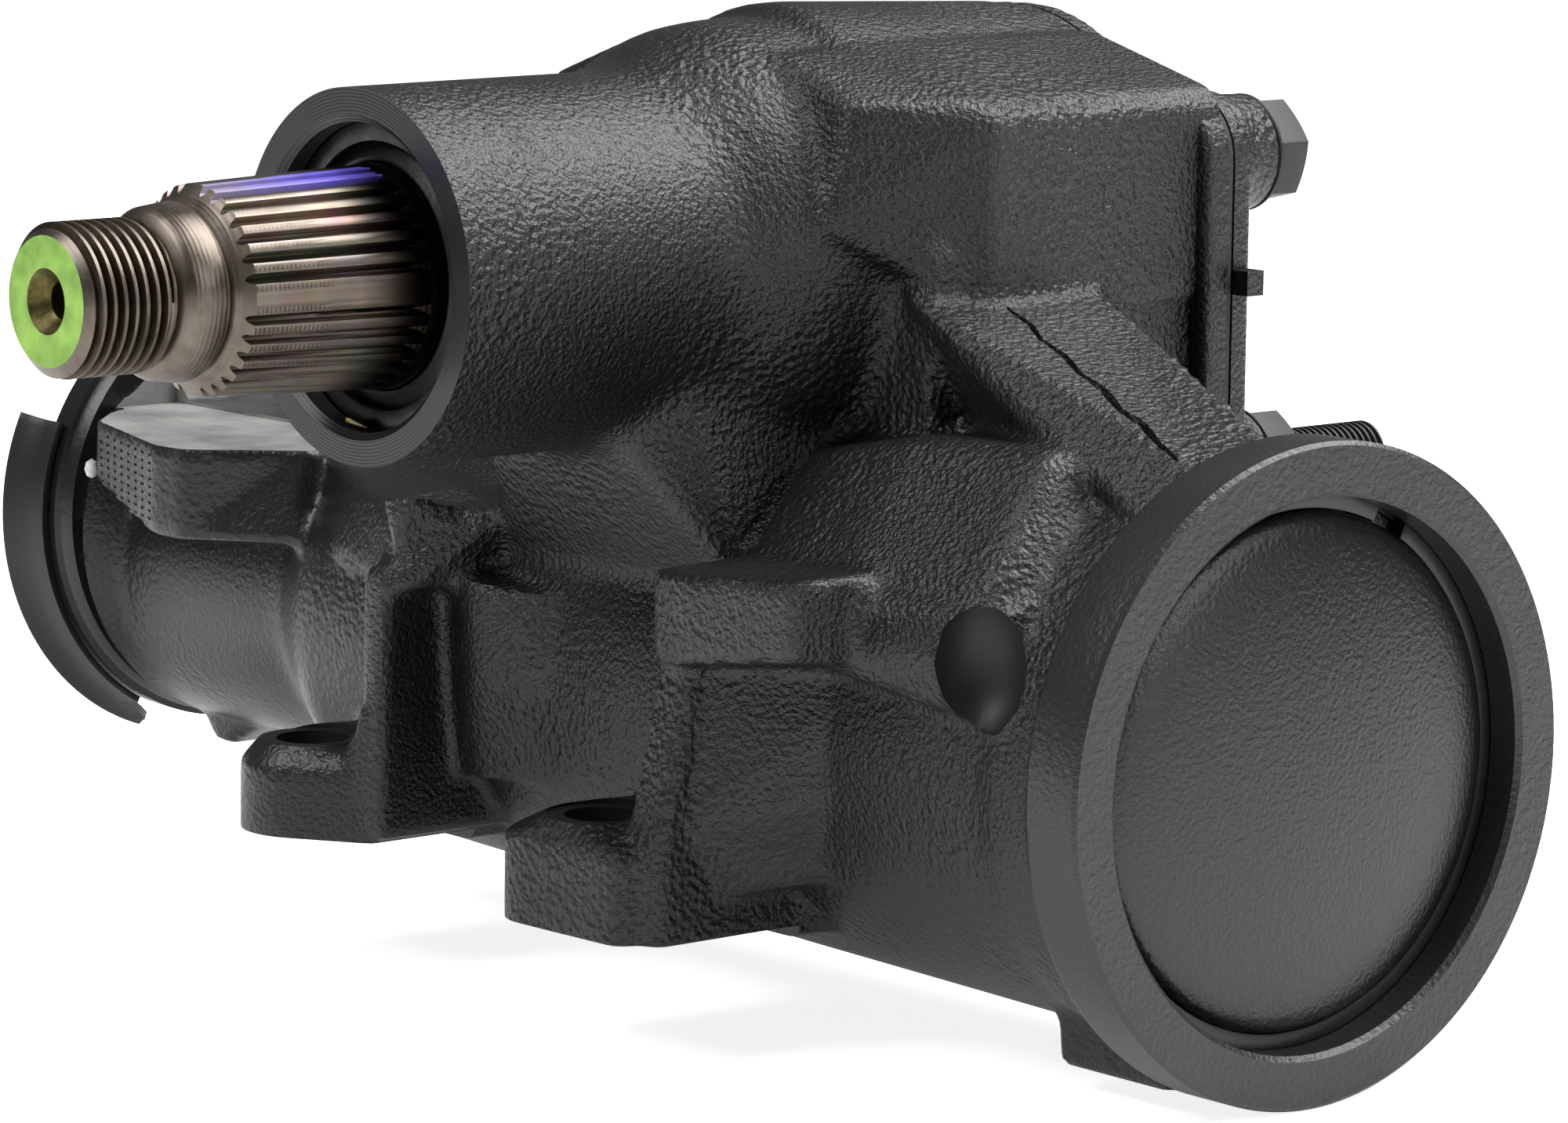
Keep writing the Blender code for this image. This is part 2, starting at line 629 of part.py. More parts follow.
def shaft_bore():
    """Everything turned on the shaft axis: seal bore with its snap groove, bearing bore and chamber."""
    crown = HUB_R + 8
    ring_y = BOSS_FACE_Y + SHAFT_RING_INSET
    ring_end, groove_r = ring_y + SHAFT_RING_T + 2 * CLEAR, SEAL_BORE_R + SHAFT_RING_DEPTH
    return turned([
        (BOSS_FACE_Y - 1, 0), (BOSS_FACE_Y - 1, SEAL_BORE_R),
        (ring_y, SEAL_BORE_R), (ring_y, groove_r), (ring_end, groove_r), (ring_end, SEAL_BORE_R), (SEAL_BORE_Y, SEAL_BORE_R), (SEAL_BORE_Y, BEARING_BORE_R),
        (BEARING_BORE_Y, BEARING_BORE_R), (BEARING_BORE_Y, SHAFT_BORE_R), (SECTOR_FRONT_Y - 1, SHAFT_BORE_R),
        (SECTOR_FRONT_Y - 1, crown), (JOINT_Y + 1, crown), (JOINT_Y + 1, 0)],
        "Y", ROUND, at=(0, 0, SHAFT_RISE))


def bolt_places():
    return [(COVER_BOLT_X, COVER_BOLT_HIGH), (-COVER_BOLT_X, COVER_BOLT_HIGH),
            (-COVER_BOLT_X, COVER_BOLT_LOW), (COVER_BOLT_X, COVER_BOLT_LOW)]


def housing():
    made = solid("housing", casting_body())
    join(made, *valve_rim(), shaft_boss(), chamber_block(), extruded(cover_outline(), "Y", JOINT_Y - 8, JOINT_Y),
         pedestal(), ear_one(), ear_two(), web(WEB1_RIGHT, WEB1_T, EAR1_BOTTOM_Z, 16, WEB_FRONT_Y - 1),
         web(WEB2_RIGHT, WEB2_T, EAR2_BOTTOM_Z, 13, EAR2_FRONT_Y + 3), pad_one(), pad_one_tail(), pad_two(),
         ridge(), diagonal_rib(), *small_lugs(), port_boss(PRESSURE_PORT_X), port_boss(RETURN_PORT_X))
    cut(made, main_bore(), shaft_bore(),
        extruded(sector_sweep(), "Y", SECTOR_FRONT_Y - 1.4, SECTOR_BACK_Y + 2.5),
        extruded(cover_opening(), "Y", SECTOR_BACK_Y + 1, JOINT_Y + 2),
        port_bore(PRESSURE_PORT_X), port_bore(RETURN_PORT_X),
        rod("Z", EAR1_BOTTOM_Z - 1, EAR_TOP_Z + 1, EAR_HOLE_R, at=(EAR1_X, EAR1_Y, 0)),
        rod("Z", EAR2_BOTTOM_Z - 1, EAR_TOP_Z + 1, EAR_HOLE_R, at=(EAR2_X, EAR2_Y, 0)))
    for x, z in bolt_places():
        cut(made, rod("Y", JOINT_Y - BOLT_DEPTH, JOINT_Y + 1, BOLT_R + CLEAR, at=(x, 0, z)))
    return tidy(made, PAINTED_IRON)


# Side cover and what it carries

def side_cover():
    made = solid("side_cover", extruded(cover_outline(), "Y", COVER_Y, COVER_OUT_Y))
    for x, z in bolt_places():
        join(made, rod("Y", COVER_Y + 1, CORNER_BOSS_Y, CORNER_BOSS_R, at=(x, 0, z)))
    join(made, turned([
        (COVER_HUB_Y, 0), (COVER_HUB_Y, COVER_HUB_R), (COVER_OUT_Y - 1, COVER_HUB_R + 3), (COVER_DOME_Y - 2, COVER_HUB_R), (COVER_DOME_Y, COVER_HUB_R - 5),
        (COVER_DOME_Y, ADJUSTER_BOSS_R), (ADJUSTER_BOSS_Y, ADJUSTER_BOSS_R - 1), (ADJUSTER_BOSS_Y, 0)],
        "Y", ROUND, at=(0, 0, SHAFT_RISE)))
    edge = COVER_BOLT_X + COVER_CORNER_R
    join(made, box((edge - 4, COVER_Y, 60), (edge + 2.2, COVER_OUT_Y + 1, 64)))
    bush_r = BUSH_R + BUSH_WALL + CLEAR
    cut(made, turned([
        (COVER_HUB_Y - 1, 0), (COVER_HUB_Y - 1, bush_r), (TAIL_END_Y + 1.5, bush_r),
        (TAIL_END_Y + 1.5, ADJUSTER_R + CLEAR), (ADJUSTER_BOSS_Y + 1, ADJUSTER_R + CLEAR),
        (ADJUSTER_BOSS_Y + 1, 0)], "Y", FINE, at=(0, 0, SHAFT_RISE)))
    for x, z in bolt_places():
        cut(made, rod("Y", COVER_Y - 1, CORNER_BOSS_Y + 1, BOLT_R + 0.6, at=(x, 0, z)))
    return tidy(made, PAINTED_IRON)


def cover_gasket():
    made = solid("side_cover_gasket", extruded(cover_outline(-0.6), "Y", GASKET_Y, GASKET_Y + GASKET_T))
    cut(made, extruded(cover_opening(0.5), "Y", GASKET_Y - 1, GASKET_Y + GASKET_T + 1))
    for x, z in bolt_places():
        cut(made, rod("Y", GASKET_Y - 1, GASKET_Y + GASKET_T + 1, BOLT_R + 0.6, at=(x, 0, z)))
    return tidy(made, GASKET)


def hex_rod(axis, low, high, across_flats, at=(0, 0, 0), turn=math.radians(30)):
    """Hexagonal bar with lightly turned-off end corners."""
    radius = across_flats / 2 / math.cos(math.radians(30))
    ease = radius * 0.08
    return turned([(low, 0), (low, radius), (high - ease, radius), (high, radius - 1.6 * ease), (high, 0)],
                  axis, 6, at, turn)


def cover_bolt(number, x, z):
    seat = CORNER_BOSS_Y + CLEAR
    made = solid(f"cover_bolt_{number}", turned([
        (JOINT_Y - BOLT_DEPTH + 1, 0), (JOINT_Y - BOLT_DEPTH + 1, BOLT_R), (seat, BOLT_R),
        (seat, BOLT_FLANGE_R - 0.6),
        (seat + BOLT_FLANGE_T, BOLT_FLANGE_R - 1), (seat + BOLT_FLANGE_T, 0)], "Y", SMALL, at=(x, 0, z)))
    join(made, hex_rod("Y", seat + 0.6, seat + BOLT_HEAD_H, BOLT_HEAD_AF, at=(x, 0, z)))
    return tidy(made, PAINTED_STEEL)


def cover_stud():
    """Long stud at the lower corner by the ring; it carries a nut and a bare threaded end."""
    x, z = bolt_places()[3]
    made = solid("cover_stud", turned([
        (JOINT_Y - BOLT_DEPTH + 1, 0), (JOINT_Y - BOLT_DEPTH + 1, BOLT_R - 1),
        (JOINT_Y - BOLT_DEPTH + 2, BOLT_R), (STUD_END_Y - 1, BOLT_R), (STUD_END_Y, BOLT_R - 1),
        (STUD_END_Y, 0)], "Y", SMALL, at=(x, 0, z)))
    return tidy(made, PAINTED_STEEL)


def cover_stud_nut():
    x, z = bolt_places()[3]
    seat = CORNER_BOSS_Y + CLEAR
    made = solid("cover_stud_nut", hex_rod("Y", seat + 0.6, seat + BOLT_HEAD_H + 1, BOLT_HEAD_AF, at=(x, 0, z)))
    join(made, rod("Y", seat, seat + BOLT_FLANGE_T, BOLT_FLANGE_R, SMALL, at=(x, 0, z)))
    cut(made, rod("Y", seat - 1, seat + BOLT_HEAD_H + 2, BOLT_R + CLEAR, SMALL, at=(x, 0, z)))
    return tidy(made, PAINTED_STEEL)


def adjuster_screw():
    """Lash adjuster: its head turns in the T-slot of the sector shaft."""
    head = TAIL_END_Y - 1.5 - CLEAR - ADJUSTER_HEAD_T
    made = solid("lash_adjuster_screw", turned([
        (head, 0), (head, ADJUSTER_HEAD_R), (head + ADJUSTER_HEAD_T, ADJUSTER_HEAD_R),
        (head + ADJUSTER_HEAD_T, ADJUSTER_R), (ADJUSTER_END_Y - 1, ADJUSTER_R),
        (ADJUSTER_END_Y, ADJUSTER_R - 1), (ADJUSTER_END_Y, 0)], "Y", SMALL, at=(0, 0, SHAFT_RISE)))
    slot = box((-8, ADJUSTER_END_Y - 2, SHAFT_RISE - 0.8), (8, ADJUSTER_END_Y + 1, SHAFT_RISE + 0.8))
    return tidy(cut(made, slot), BARE_STEEL)


def adjuster_nut():
    low = ADJUSTER_BOSS_Y + CLEAR
    made = solid("adjuster_lock_nut", hex_rod("Y", low, low + LOCK_NUT_H, LOCK_NUT_AF, at=(0, 0, SHAFT_RISE)))
    cut(made, rod("Y", low - 1, low + LOCK_NUT_H + 1, ADJUSTER_R + CLEAR, SMALL, at=(0, 0, SHAFT_RISE)))
    return tidy(made, PAINTED_STEEL)


def ring_piece(name, axis, low, high, inner, outer, finish, rise=0.0, facets=FINE):
    return tidy(solid(name, tube(axis, low, high, inner, outer, facets, at=(0, 0, rise))), finish)


# End cover

def end_cover():
    """Domed cap that closes the piston bore, with a groove for its O-ring."""
    outer = COUNTERBORE_R - CLEAR
    low = COUNTERBORE_X + CLEAR
    seat = SNAP_GROOVE_X
    apex = RING_FACE_X - 0.4
    dome = [(seat + 0.6 + (apex - seat - 0.6) * math.sin(math.radians(a)), DOME_BASE_R * math.cos(math.radians(a)))
            for a in (0, 30, 60)]
    hollow = [(low + (apex - 5 - low) * math.sin(math.radians(a)), (DOME_BASE_R - 4) * math.cos(math.radians(a)))
              for a in (50, 0)]
    made = solid("end_cover", turned([
        (low, DOME_BASE_R - 4), (low, outer), (low + 1.6, outer), (low + 1.6, outer - 2.2),
        (low + 4.2, outer - 2.2), (low + 4.2, outer), (seat, outer), (seat, DOME_BASE_R + 0.4), *dome,
        (apex, 0), (apex - 5, 0), *hollow[:-1]], "X", ROUND))
    return tidy(made, PAINTED_STEEL)


def snap_ring(name, axis, low, thick, inner, outer, gap, finish, turn, rise=0.0, facets=FINE):
    """Open retaining ring: a flat ring with a gap at the angle given by turn."""
    made = solid(name, tube(axis, low, low + thick, inner, outer, facets, at=(0, 0, rise)))
    half = gap / 2
    u, v = math.cos(turn), math.sin(turn)
    points = []
    for along in (low - 1, low + thick + 1):
        for reach in (inner - 2, outer + 2):
            for side in (-half, half):
                x, y, z = on_axis(axis, along, reach * u - side * v, reach * v + side * u)
                points.append((x, y, z + rise))
    return tidy(cut(made, hull(points)), finish)


# Shaft, piston, worm and valve

def involute(angle):
    return math.tan(angle) - angle


def half_tooth(radius):
    """Half of a sector tooth's angle at a radius."""
    base = PITCH_R * math.cos(PRESSURE)
    at_pitch = TAU / TEETH_ROUND / 4 - TOOTH_CLEAR / PITCH_R
    return at_pitch + involute(PRESSURE) - involute(math.acos(min(1, base / max(radius, base))))


def sector_outline():
    """Gear segment seen along the shaft, with its middle tooth pointing down at the rack."""
    radii = [ROOT_R, PITCH_R * math.cos(PRESSURE), PITCH_R - 1.6, PITCH_R, PITCH_R + 1.8, TIP_R]
    points = []
    for tooth in range(SECTOR_TEETH):
        middle = -math.pi / 2 + (tooth - (SECTOR_TEETH - 1) / 2) * TAU / TEETH_ROUND
        points += [(r, middle - half_tooth(r)) for r in radii]
        points += [(r, middle + half_tooth(r)) for r in reversed(radii)]
        if tooth < SECTOR_TEETH - 1:
            points.append((ROOT_R - 0.3, middle + TAU / TEETH_ROUND / 2))
    last = points[-1][1] + math.radians(5)
    first = points[0][1] - math.radians(5)
    top = [(HUB_R, math.radians(a)) for a in range(-5, 186, 19)]
    loop = [(ROOT_R, first)] + points + [(ROOT_R, last)] + top
    return [(r * math.cos(a), r * math.sin(a)) for r, a in loop]


def spline_outline(radius, depth):
    points = []
    for tooth in range(SPLINE_COUNT):
        middle = TAU * (tooth + 0.5) / SPLINE_COUNT
        for offset, reach in ((-0.24, radius), (0.24, radius), (0.5, radius - depth)):
            angle = middle + offset * TAU / SPLINE_COUNT
            points.append((reach * math.cos(angle), reach * math.sin(angle)))
    return points


def splined_length():
    """Tapered serrations, as a loft between two outlines."""
    bm = bmesh.new()
    loops = []
    for y, radius in ((SPLINE_FRONT_Y, SPLINE_FRONT_R), (SPLINE_BACK_Y, SPLINE_BACK_R)):
        loops.append([bm.verts.new((u, y, v)) for u, v in spline_outline(radius, SPLINE_DEPTH)])
    bm.faces.new(loops[0])
    bm.faces.new(loops[1])
    count = len(loops[0])
    for i in range(count):
        after = (i + 1) % count
        bm.faces.new([loops[0][i], loops[0][after], loops[1][after], loops[1][i]])
    return bm


def t_slot(low, high, half):
    """Slot with a round end, open on the +X side, that the adjuster screw slides into."""
    outline = arc(0, 0, half, 90, 270, 8) + [(TAIL_R + 3, -half), (TAIL_R + 3, half)]
    return extruded(outline, "Y", low, high)


def sector_shaft():
    """Sector shaft: threaded end, serrations, journal, gear segment and tail with its T-slot."""
    made = solid("sector_shaft", turned([
        (SHAFT_END_Y, 0), (SHAFT_END_Y, THREAD_R - 1.0), (SHAFT_END_Y + 1.0, THREAD_R),
        (THREAD_END_Y, THREAD_R), (THREAD_END_Y + 1, NECK_SHAFT_R), (THREAD_END_Y + 4, NECK_SHAFT_R),
        (SPLINE_FRONT_Y - 0.5, SPLINE_FRONT_R - SPLINE_DEPTH), (SPLINE_FRONT_Y + 1, 13), (SPLINE_BACK_Y - 2, 13),
        (SPLINE_BACK_Y - 0.6, JOURNAL_R - 0.3), (SPLINE_BACK_Y + 1.5, JOURNAL_R), (SECTOR_FRONT_Y, JOURNAL_R),
        (SECTOR_BACK_Y + 0.5, TAIL_R), (TAIL_END_Y, TAIL_R), (TAIL_END_Y, 0)],
        "Y", FINE))
    join(made, splined_length(), extruded(sector_outline(), "Y", SECTOR_FRONT_Y, SECTOR_BACK_Y))
    slot_back = TAIL_END_Y - 1.5
    slot_front = slot_back - ADJUSTER_HEAD_T - 2 * CLEAR
    head, neck = ADJUSTER_HEAD_R + CLEAR, ADJUSTER_R + CLEAR
    cut(made, t_slot(slot_front, slot_back, head), t_slot(slot_back - 0.5, TAIL_END_Y + 1, neck),
        turned([(SHAFT_END_Y - 1, 0), (SHAFT_END_Y - 1, 5), (SHAFT_END_Y + 3.5, 2.6),
                (SHAFT_END_Y + 9, 2.6), (SHAFT_END_Y + 10.5, 0)], "Y", SMALL))
    return tidy(made, BARE_STEEL)


def rack_space(middle):
    """One tooth space of the rack, cut across the piston."""
    def half(z):
        return RACK_PITCH / 4 + TOOTH_CLEAR + (z - RACK_LINE_Z) * math.tan(PRESSURE)
    top = RACK_TOP_Z + 1
    outline = [(middle - half(top), top), (middle - half(RACK_ROOT_Z), RACK_ROOT_Z),
               (middle + half(RACK_ROOT_Z), RACK_ROOT_Z), (middle + half(top), top)]
    return extruded(outline, "Y", -PISTON_R, PISTON_R)


def ball_track(start, end):
    """Right-handed helical tube round the ball path. Its stations line up with the balls at rest."""
    bm = bmesh.new()
    sides = 6
    radius = (BALL_R + BALL_CLEAR) / math.cos(math.pi / sides)
    stride = LEAD / TRACK_STEPS
    rings = []
    for step in range(math.floor((start - BALLS_FROM_X) / stride), math.ceil((end - BALLS_FROM_X) / stride) + 1):
        x = BALLS_FROM_X + step * stride
        turn = TAU * x / LEAD
        middle = Vector((x, BALL_PITCH_R * math.cos(turn), BALL_PITCH_R * math.sin(turn)))
        out = Vector((0, math.cos(turn), math.sin(turn)))
        along = Vector((LEAD / TAU, -BALL_PITCH_R * math.sin(turn), BALL_PITCH_R * math.cos(turn))).normalized()
        side = along.cross(out)
        rings.append([bm.verts.new(middle + radius * (math.cos(a) * out + math.sin(a) * side))
                      for a in (TAU * i / sides for i in range(sides))])
    for ring, following in zip(rings, rings[1:]):
        for i in range(sides):
            after = (i + 1) % sides
            bm.faces.new([ring[i], ring[after], following[after], following[i]])
    bm.faces.new(rings[0])
    bm.faces.new(rings[-1])
    return bm


GUIDE_X = (BALLS_FROM_X - 1.5, BALLS_FROM_X + BALL_TURNS * LEAD + 1.5)
GUIDE_R = 4.0
POCKET_Z = -24.0
GUIDE_Z = POCKET_Z - CLEAR - GUIDE_R
CLAMP_T = 1.4
CLAMP_HALF = 5.0
SCREW_Y = 10.5


def rack_piston():
    """Piston that is also the ball nut and carries the rack on its upper side."""
    ring_low = PISTON_RING_X - CLEAR
    ring_high = PISTON_RING_X + PISTON_RING_W + CLEAR
    made = solid("rack_piston", turned([
        (PISTON_LEFT, WORM_R + 0.6), (PISTON_LEFT, PISTON_R - 1), (PISTON_LEFT + 1, PISTON_R),
        (ring_low, PISTON_R), (ring_low, PISTON_R - PISTON_RING_DEPTH),
        (ring_high, PISTON_R - PISTON_RING_DEPTH), (ring_high, PISTON_R), (PISTON_RIGHT - 1, PISTON_R),
        (PISTON_RIGHT, PISTON_R - 1), (PISTON_RIGHT, BALL_PITCH_R + 5.5),
        (WORM_RIGHT - 6, BALL_PITCH_R + 5.5), (WORM_RIGHT - 6, WORM_R + 0.6)], "X", ROUND))
    cut(made, box((PISTON_LEFT - 1, -PISTON_R, RACK_TOP_Z), (RACK_FLAT_RIGHT, PISTON_R, PISTON_R + 1)))
    for space in range(SECTOR_TEETH):
        cut(made, rack_space((space - (SECTOR_TEETH - 1) / 2) * RACK_PITCH))
    cut(made, ball_track(PISTON_LEFT + 4, BALLS_FROM_X + BALL_TURNS * LEAD + 8))
    cut(made, box((GUIDE_X[0] - 6, -14.5, -PISTON_R - 1), (GUIDE_X[1] + 6, 14.5, POCKET_Z)))
    middle = sum(GUIDE_X) / 2
    for x in GUIDE_X:
        cut(made, rod("Z", POCKET_Z - 1, -BALL_PITCH_R, GUIDE_R + 3 * CLEAR, at=(x, 0, 0)))
    for y in (-SCREW_Y, SCREW_Y):
        cut(made, rod("Z", POCKET_Z - 1, POCKET_Z + 5.2, 2.0 + CLEAR, 8, at=(middle, y, 0)))
    return tidy(made, GROUND_STEEL)


def ball_guide():
    """Return guide that carries the balls from one end of their circuit to the other."""
    bm = bmesh.new()
    sides = 8
    bend = 3.9
    left, right = GUIDE_X
    path = [(left, -BALL_PITCH_R - 4.6)]
    path += [(left + bend * (1 - math.cos(a)), GUIDE_Z + bend * (1 - math.sin(a)))
             for a in (math.radians(d) for d in (0, 45, 90))]
    path += [(right - bend * (1 - math.sin(a)), GUIDE_Z + bend * (1 - math.cos(a)))
             for a in (math.radians(d) for d in (0, 45, 90))]
    path += [(right, -BALL_PITCH_R - 4.6)]
    rings = []
    for i, (x, z) in enumerate(path):
        before, after = path[max(i - 1, 0)], path[min(i + 1, len(path) - 1)]
        along = Vector((after[0] - before[0], 0, after[1] - before[1])).normalized()
        side = Vector((0, 1, 0))
        out = along.cross(side)
        rings.append([bm.verts.new(Vector((x, 0, z)) + GUIDE_R * (math.cos(t) * side + math.sin(t) * out))
                      for t in (TAU * s / sides for s in range(sides))])
    for ring, following in zip(rings, rings[1:]):
        for i in range(sides):
            after = (i + 1) % sides
            bm.faces.new([ring[i], ring[after], following[after], following[i]])
    bm.faces.new(rings[0])
    bm.faces.new(rings[-1])
    return tidy(solid("ball_return_guide", bm), BARE_STEEL)


def guide_clamp():
    """Strap over the return guide, with a foot on each side for its screws."""
    foot = POCKET_Z - CLEAR
    crest = GUIDE_Z - GUIDE_R - CLEAR
    inner, outer = GUIDE_R + CLEAR + 0.3, GUIDE_R + CLEAR + 0.3 + CLAMP_T
    half = [(13.8, foot), (13.8, foot - CLAMP_T), (outer, foot - CLAMP_T), (outer, crest + 0.6),
            (outer - 1.6, crest - CLAMP_T)]
    inside = [(inner, foot), (inner, crest + 0.2), (inner - 0.6, crest)]
    outline = half + [(-y, z) for y, z in reversed(half)]
    outline += [(-y, z) for y, z in inside] + list(reversed(inside))
    middle = sum(GUIDE_X) / 2
    made = solid("guide_clamp", extruded(outline, "X", middle - CLAMP_HALF, middle + CLAMP_HALF))
    for y in (-SCREW_Y, SCREW_Y):
        cut(made, rod("Z", foot - CLAMP_T - 1, foot + 1, 2.0 + CLEAR, 8, at=(middle, y, 0)))
    return tidy(made, BARE_STEEL)


def clamp_screw(number, y):
    seat = POCKET_Z - CLEAR - CLAMP_T - CLEAR
    head = 2.6
    made = solid(f"guide_clamp_screw_{number}", turned([
        (seat - head, 0), (seat - head, 2.7), (seat, 3.1), (seat, 2.0), (POCKET_Z + 4.4, 2.0),
        (POCKET_Z + 4.9, 1.5), (POCKET_Z + 4.9, 0)], "Z", 8, at=(sum(GUIDE_X) / 2, y, 0)))
    return tidy(made, BARE_STEEL)


def ball(number):
    """One ball on the helical path shared by the worm and the piston."""
    x = BALLS_FROM_X + BALL_TURNS * LEAD * number / (BALL_COUNT - 1)
    turn = TAU * x / LEAD
    bm = bmesh.new()
    bmesh.ops.create_icosphere(bm, subdivisions=2, radius=BALL_R)
    place = (x, BALL_PITCH_R * math.cos(turn), BALL_PITCH_R * math.sin(turn))
    bmesh.ops.translate(bm, vec=place, verts=bm.verts)
    return tidy(solid(f"ball_{number + 1}", bm), GROUND_STEEL)


def worm_shaft():
    """Worm with its ball track, thrust flange and the slot that drives the stub if the bar fails."""
    right = BEARING_SHOULDER_X - 2 * CLEAR - THRUST_T
    made = solid("worm_shaft", turned([
        (FLANGE_LEFT_X, 0), (FLANGE_LEFT_X, WORM_FLANGE_R), (right, WORM_FLANGE_R), (right, WORM_R),
        (WORM_RIGHT - 1.5, WORM_R), (WORM_RIGHT, WORM_R - 1.5), (WORM_RIGHT, 0)], "X", FINE))
    cut(made, ball_track(WORM_LEFT + 2, WORM_RIGHT + 6))
    slot = [(TANG_SLOT_HALF, STUB_R), (-TANG_SLOT_HALF, STUB_R)]
    reach = STUB_R + 0.8
    cut(made, extruded([(-reach, -TANG_SLOT_HALF), (reach, -TANG_SLOT_HALF), (reach, TANG_SLOT_HALF),
                        (-reach, TANG_SLOT_HALF)], "X", FLANGE_LEFT_X - 1, FLANGE_LEFT_X + TANG_LENGTH),
        rod("X", FLANGE_LEFT_X - 1, TORSION_RIGHT_X + 1, TORSION_R + 0.6),
        rod("X", FLANGE_LEFT_X - 1, FLANGE_LEFT_X + 3, 1.5 + CLEAR, 8, at=(0, 0, PIN_Z)))
    return tidy(made, GROUND_STEEL)


PIN_Z = 17.6


def valve_sleeve():
    """Rotary valve sleeve with seal ring grooves outside and slots inside."""
    outer = VALVE_BORE_R - CLEAR
    profile = [(SLEEVE_LEFT_X, SLEEVE_BORE_R), (SLEEVE_LEFT_X, outer)]
    for middle in seal_ring_places():
        profile += [(middle - 1.4, outer), (middle - 1.4, outer - 2), (middle + 1.4, outer - 2),
                    (middle + 1.4, outer)]
    profile += [(SLEEVE_RIGHT_X, outer), (SLEEVE_RIGHT_X, SLEEVE_BORE_R)]
    made = solid("valve_sleeve", turned(profile, "X", FINE))
    for slot in range(SPOOL_SLOTS):
        angle = TAU * slot / SPOOL_SLOTS
        cut(made, slot_tool(angle, SLEEVE_BORE_R - 1.5, SLEEVE_BORE_R + 1.4, SLEEVE_LENGTH / 2 - 12))
    cut(made, rod("X", SLEEVE_RIGHT_X - 4, SLEEVE_RIGHT_X + 1, 1.5 + CLEAR, 8, at=(0, 0, PIN_Z)))
    return tidy(made, GROUND_STEEL)


def seal_ring_places():
    step = SLEEVE_LENGTH / 3
    return [SLEEVE_LEFT_X + step * (i + 0.5) for i in range(3)]


def slot_tool(angle, inner, outer, half_length):
    """Lengthwise oil slot of the valve, as a cutter at an angle round its axis."""
    middle = (SLEEVE_LEFT_X + SLEEVE_RIGHT_X) / 2
    points = []
    for x in (middle - half_length, middle + half_length):
        for reach, half in ((inner, 2.0), (outer, 1.6)):
            for side in (-half, half):
                points.append((x, reach * math.cos(angle) - side * math.sin(angle),
                               reach * math.sin(angle) + side * math.cos(angle)))
    return hull(points)


def valve_spool():
    """Spool with lengthwise grooves, pressed on the stub shaft inside the sleeve."""
    left, right = SLEEVE_LEFT_X + 2, SLEEVE_RIGHT_X - 2
    made = solid("valve_spool", tube("X", left, right, STUB_R + CLEAR, SLEEVE_BORE_R - CLEAR))
    for slot in range(SPOOL_SLOTS):
        angle = TAU * (slot + 0.5) / SPOOL_SLOTS
        cut(made, slot_tool(angle, SLEEVE_BORE_R - CLEAR - 1.5, SLEEVE_BORE_R + 1, SLEEVE_LENGTH / 2 - 8))
    return tidy(made, GROUND_STEEL)


def stub_shaft():
    """Input stub: serrated outer end with a pinch-bolt groove, and a flat tang at the worm."""
    right = FLANGE_LEFT_X + TANG_LENGTH - 1
    made = solid("stub_shaft", turned([
        (STUB_END_X, 0), (STUB_END_X, STUB_R - 1.2), (STUB_END_X + 1.2, STUB_R), (STUB_END_X + 10, STUB_R),
        (STUB_END_X + 11.5, STUB_R - 1.5), (STUB_END_X + 15, STUB_R - 1.5), (STUB_END_X + 16.5, STUB_R),
        (right, STUB_R), (right, 0)], "X", FINE))
    for side in (-1, 1):
        low, high = sorted((side * TANG_HALF, side * (STUB_R + 2)))
        cut(made, box((FLANGE_LEFT_X - 0.5, -STUB_R - 2, low), (right + 1, STUB_R + 2, high)))
    bore = TORSION_R + CLEAR
    cut(made, rod("X", STUB_END_X + 6, right + 1, bore),
        rod("Y", -STUB_R - 2, STUB_R + 2, 1.7 + CLEAR, 8, at=(STUB_END_X + 22, 0, 0)))
    return tidy(made, BARE_STEEL)


def torsion_bar():
    left = STUB_END_X + 7
    made = solid("torsion_bar", turned([
        (left, 0), (left, TORSION_R), (STUB_END_X + 30, TORSION_R), (STUB_END_X + 34, TORSION_R - 0.8),
        (TORSION_RIGHT_X - 16, TORSION_R - 0.8), (TORSION_RIGHT_X - 12, TORSION_R),
        (TORSION_RIGHT_X, TORSION_R), (TORSION_RIGHT_X, 0)], "X", SMALL))
    cut(made, rod("Y", -STUB_R - 2, STUB_R + 2, 1.7 + CLEAR, 8, at=(STUB_END_X + 22, 0, 0)))
    return tidy(made, SPRING_STEEL)


def torsion_bar_pin():
    return tidy(solid("torsion_bar_pin", rod("Y", -STUB_R + 0.6, STUB_R - 0.6, 1.7, 8,
                                             at=(STUB_END_X + 22, 0, 0))), GROUND_STEEL)


# Valve end pieces that stay with the housing

PLUG_BEARING_X = (PLUG_BORE_X - 23, PLUG_BORE_X - 4)
PLUG_SEAL_X = PLUG_BEARING_X[0] - 4


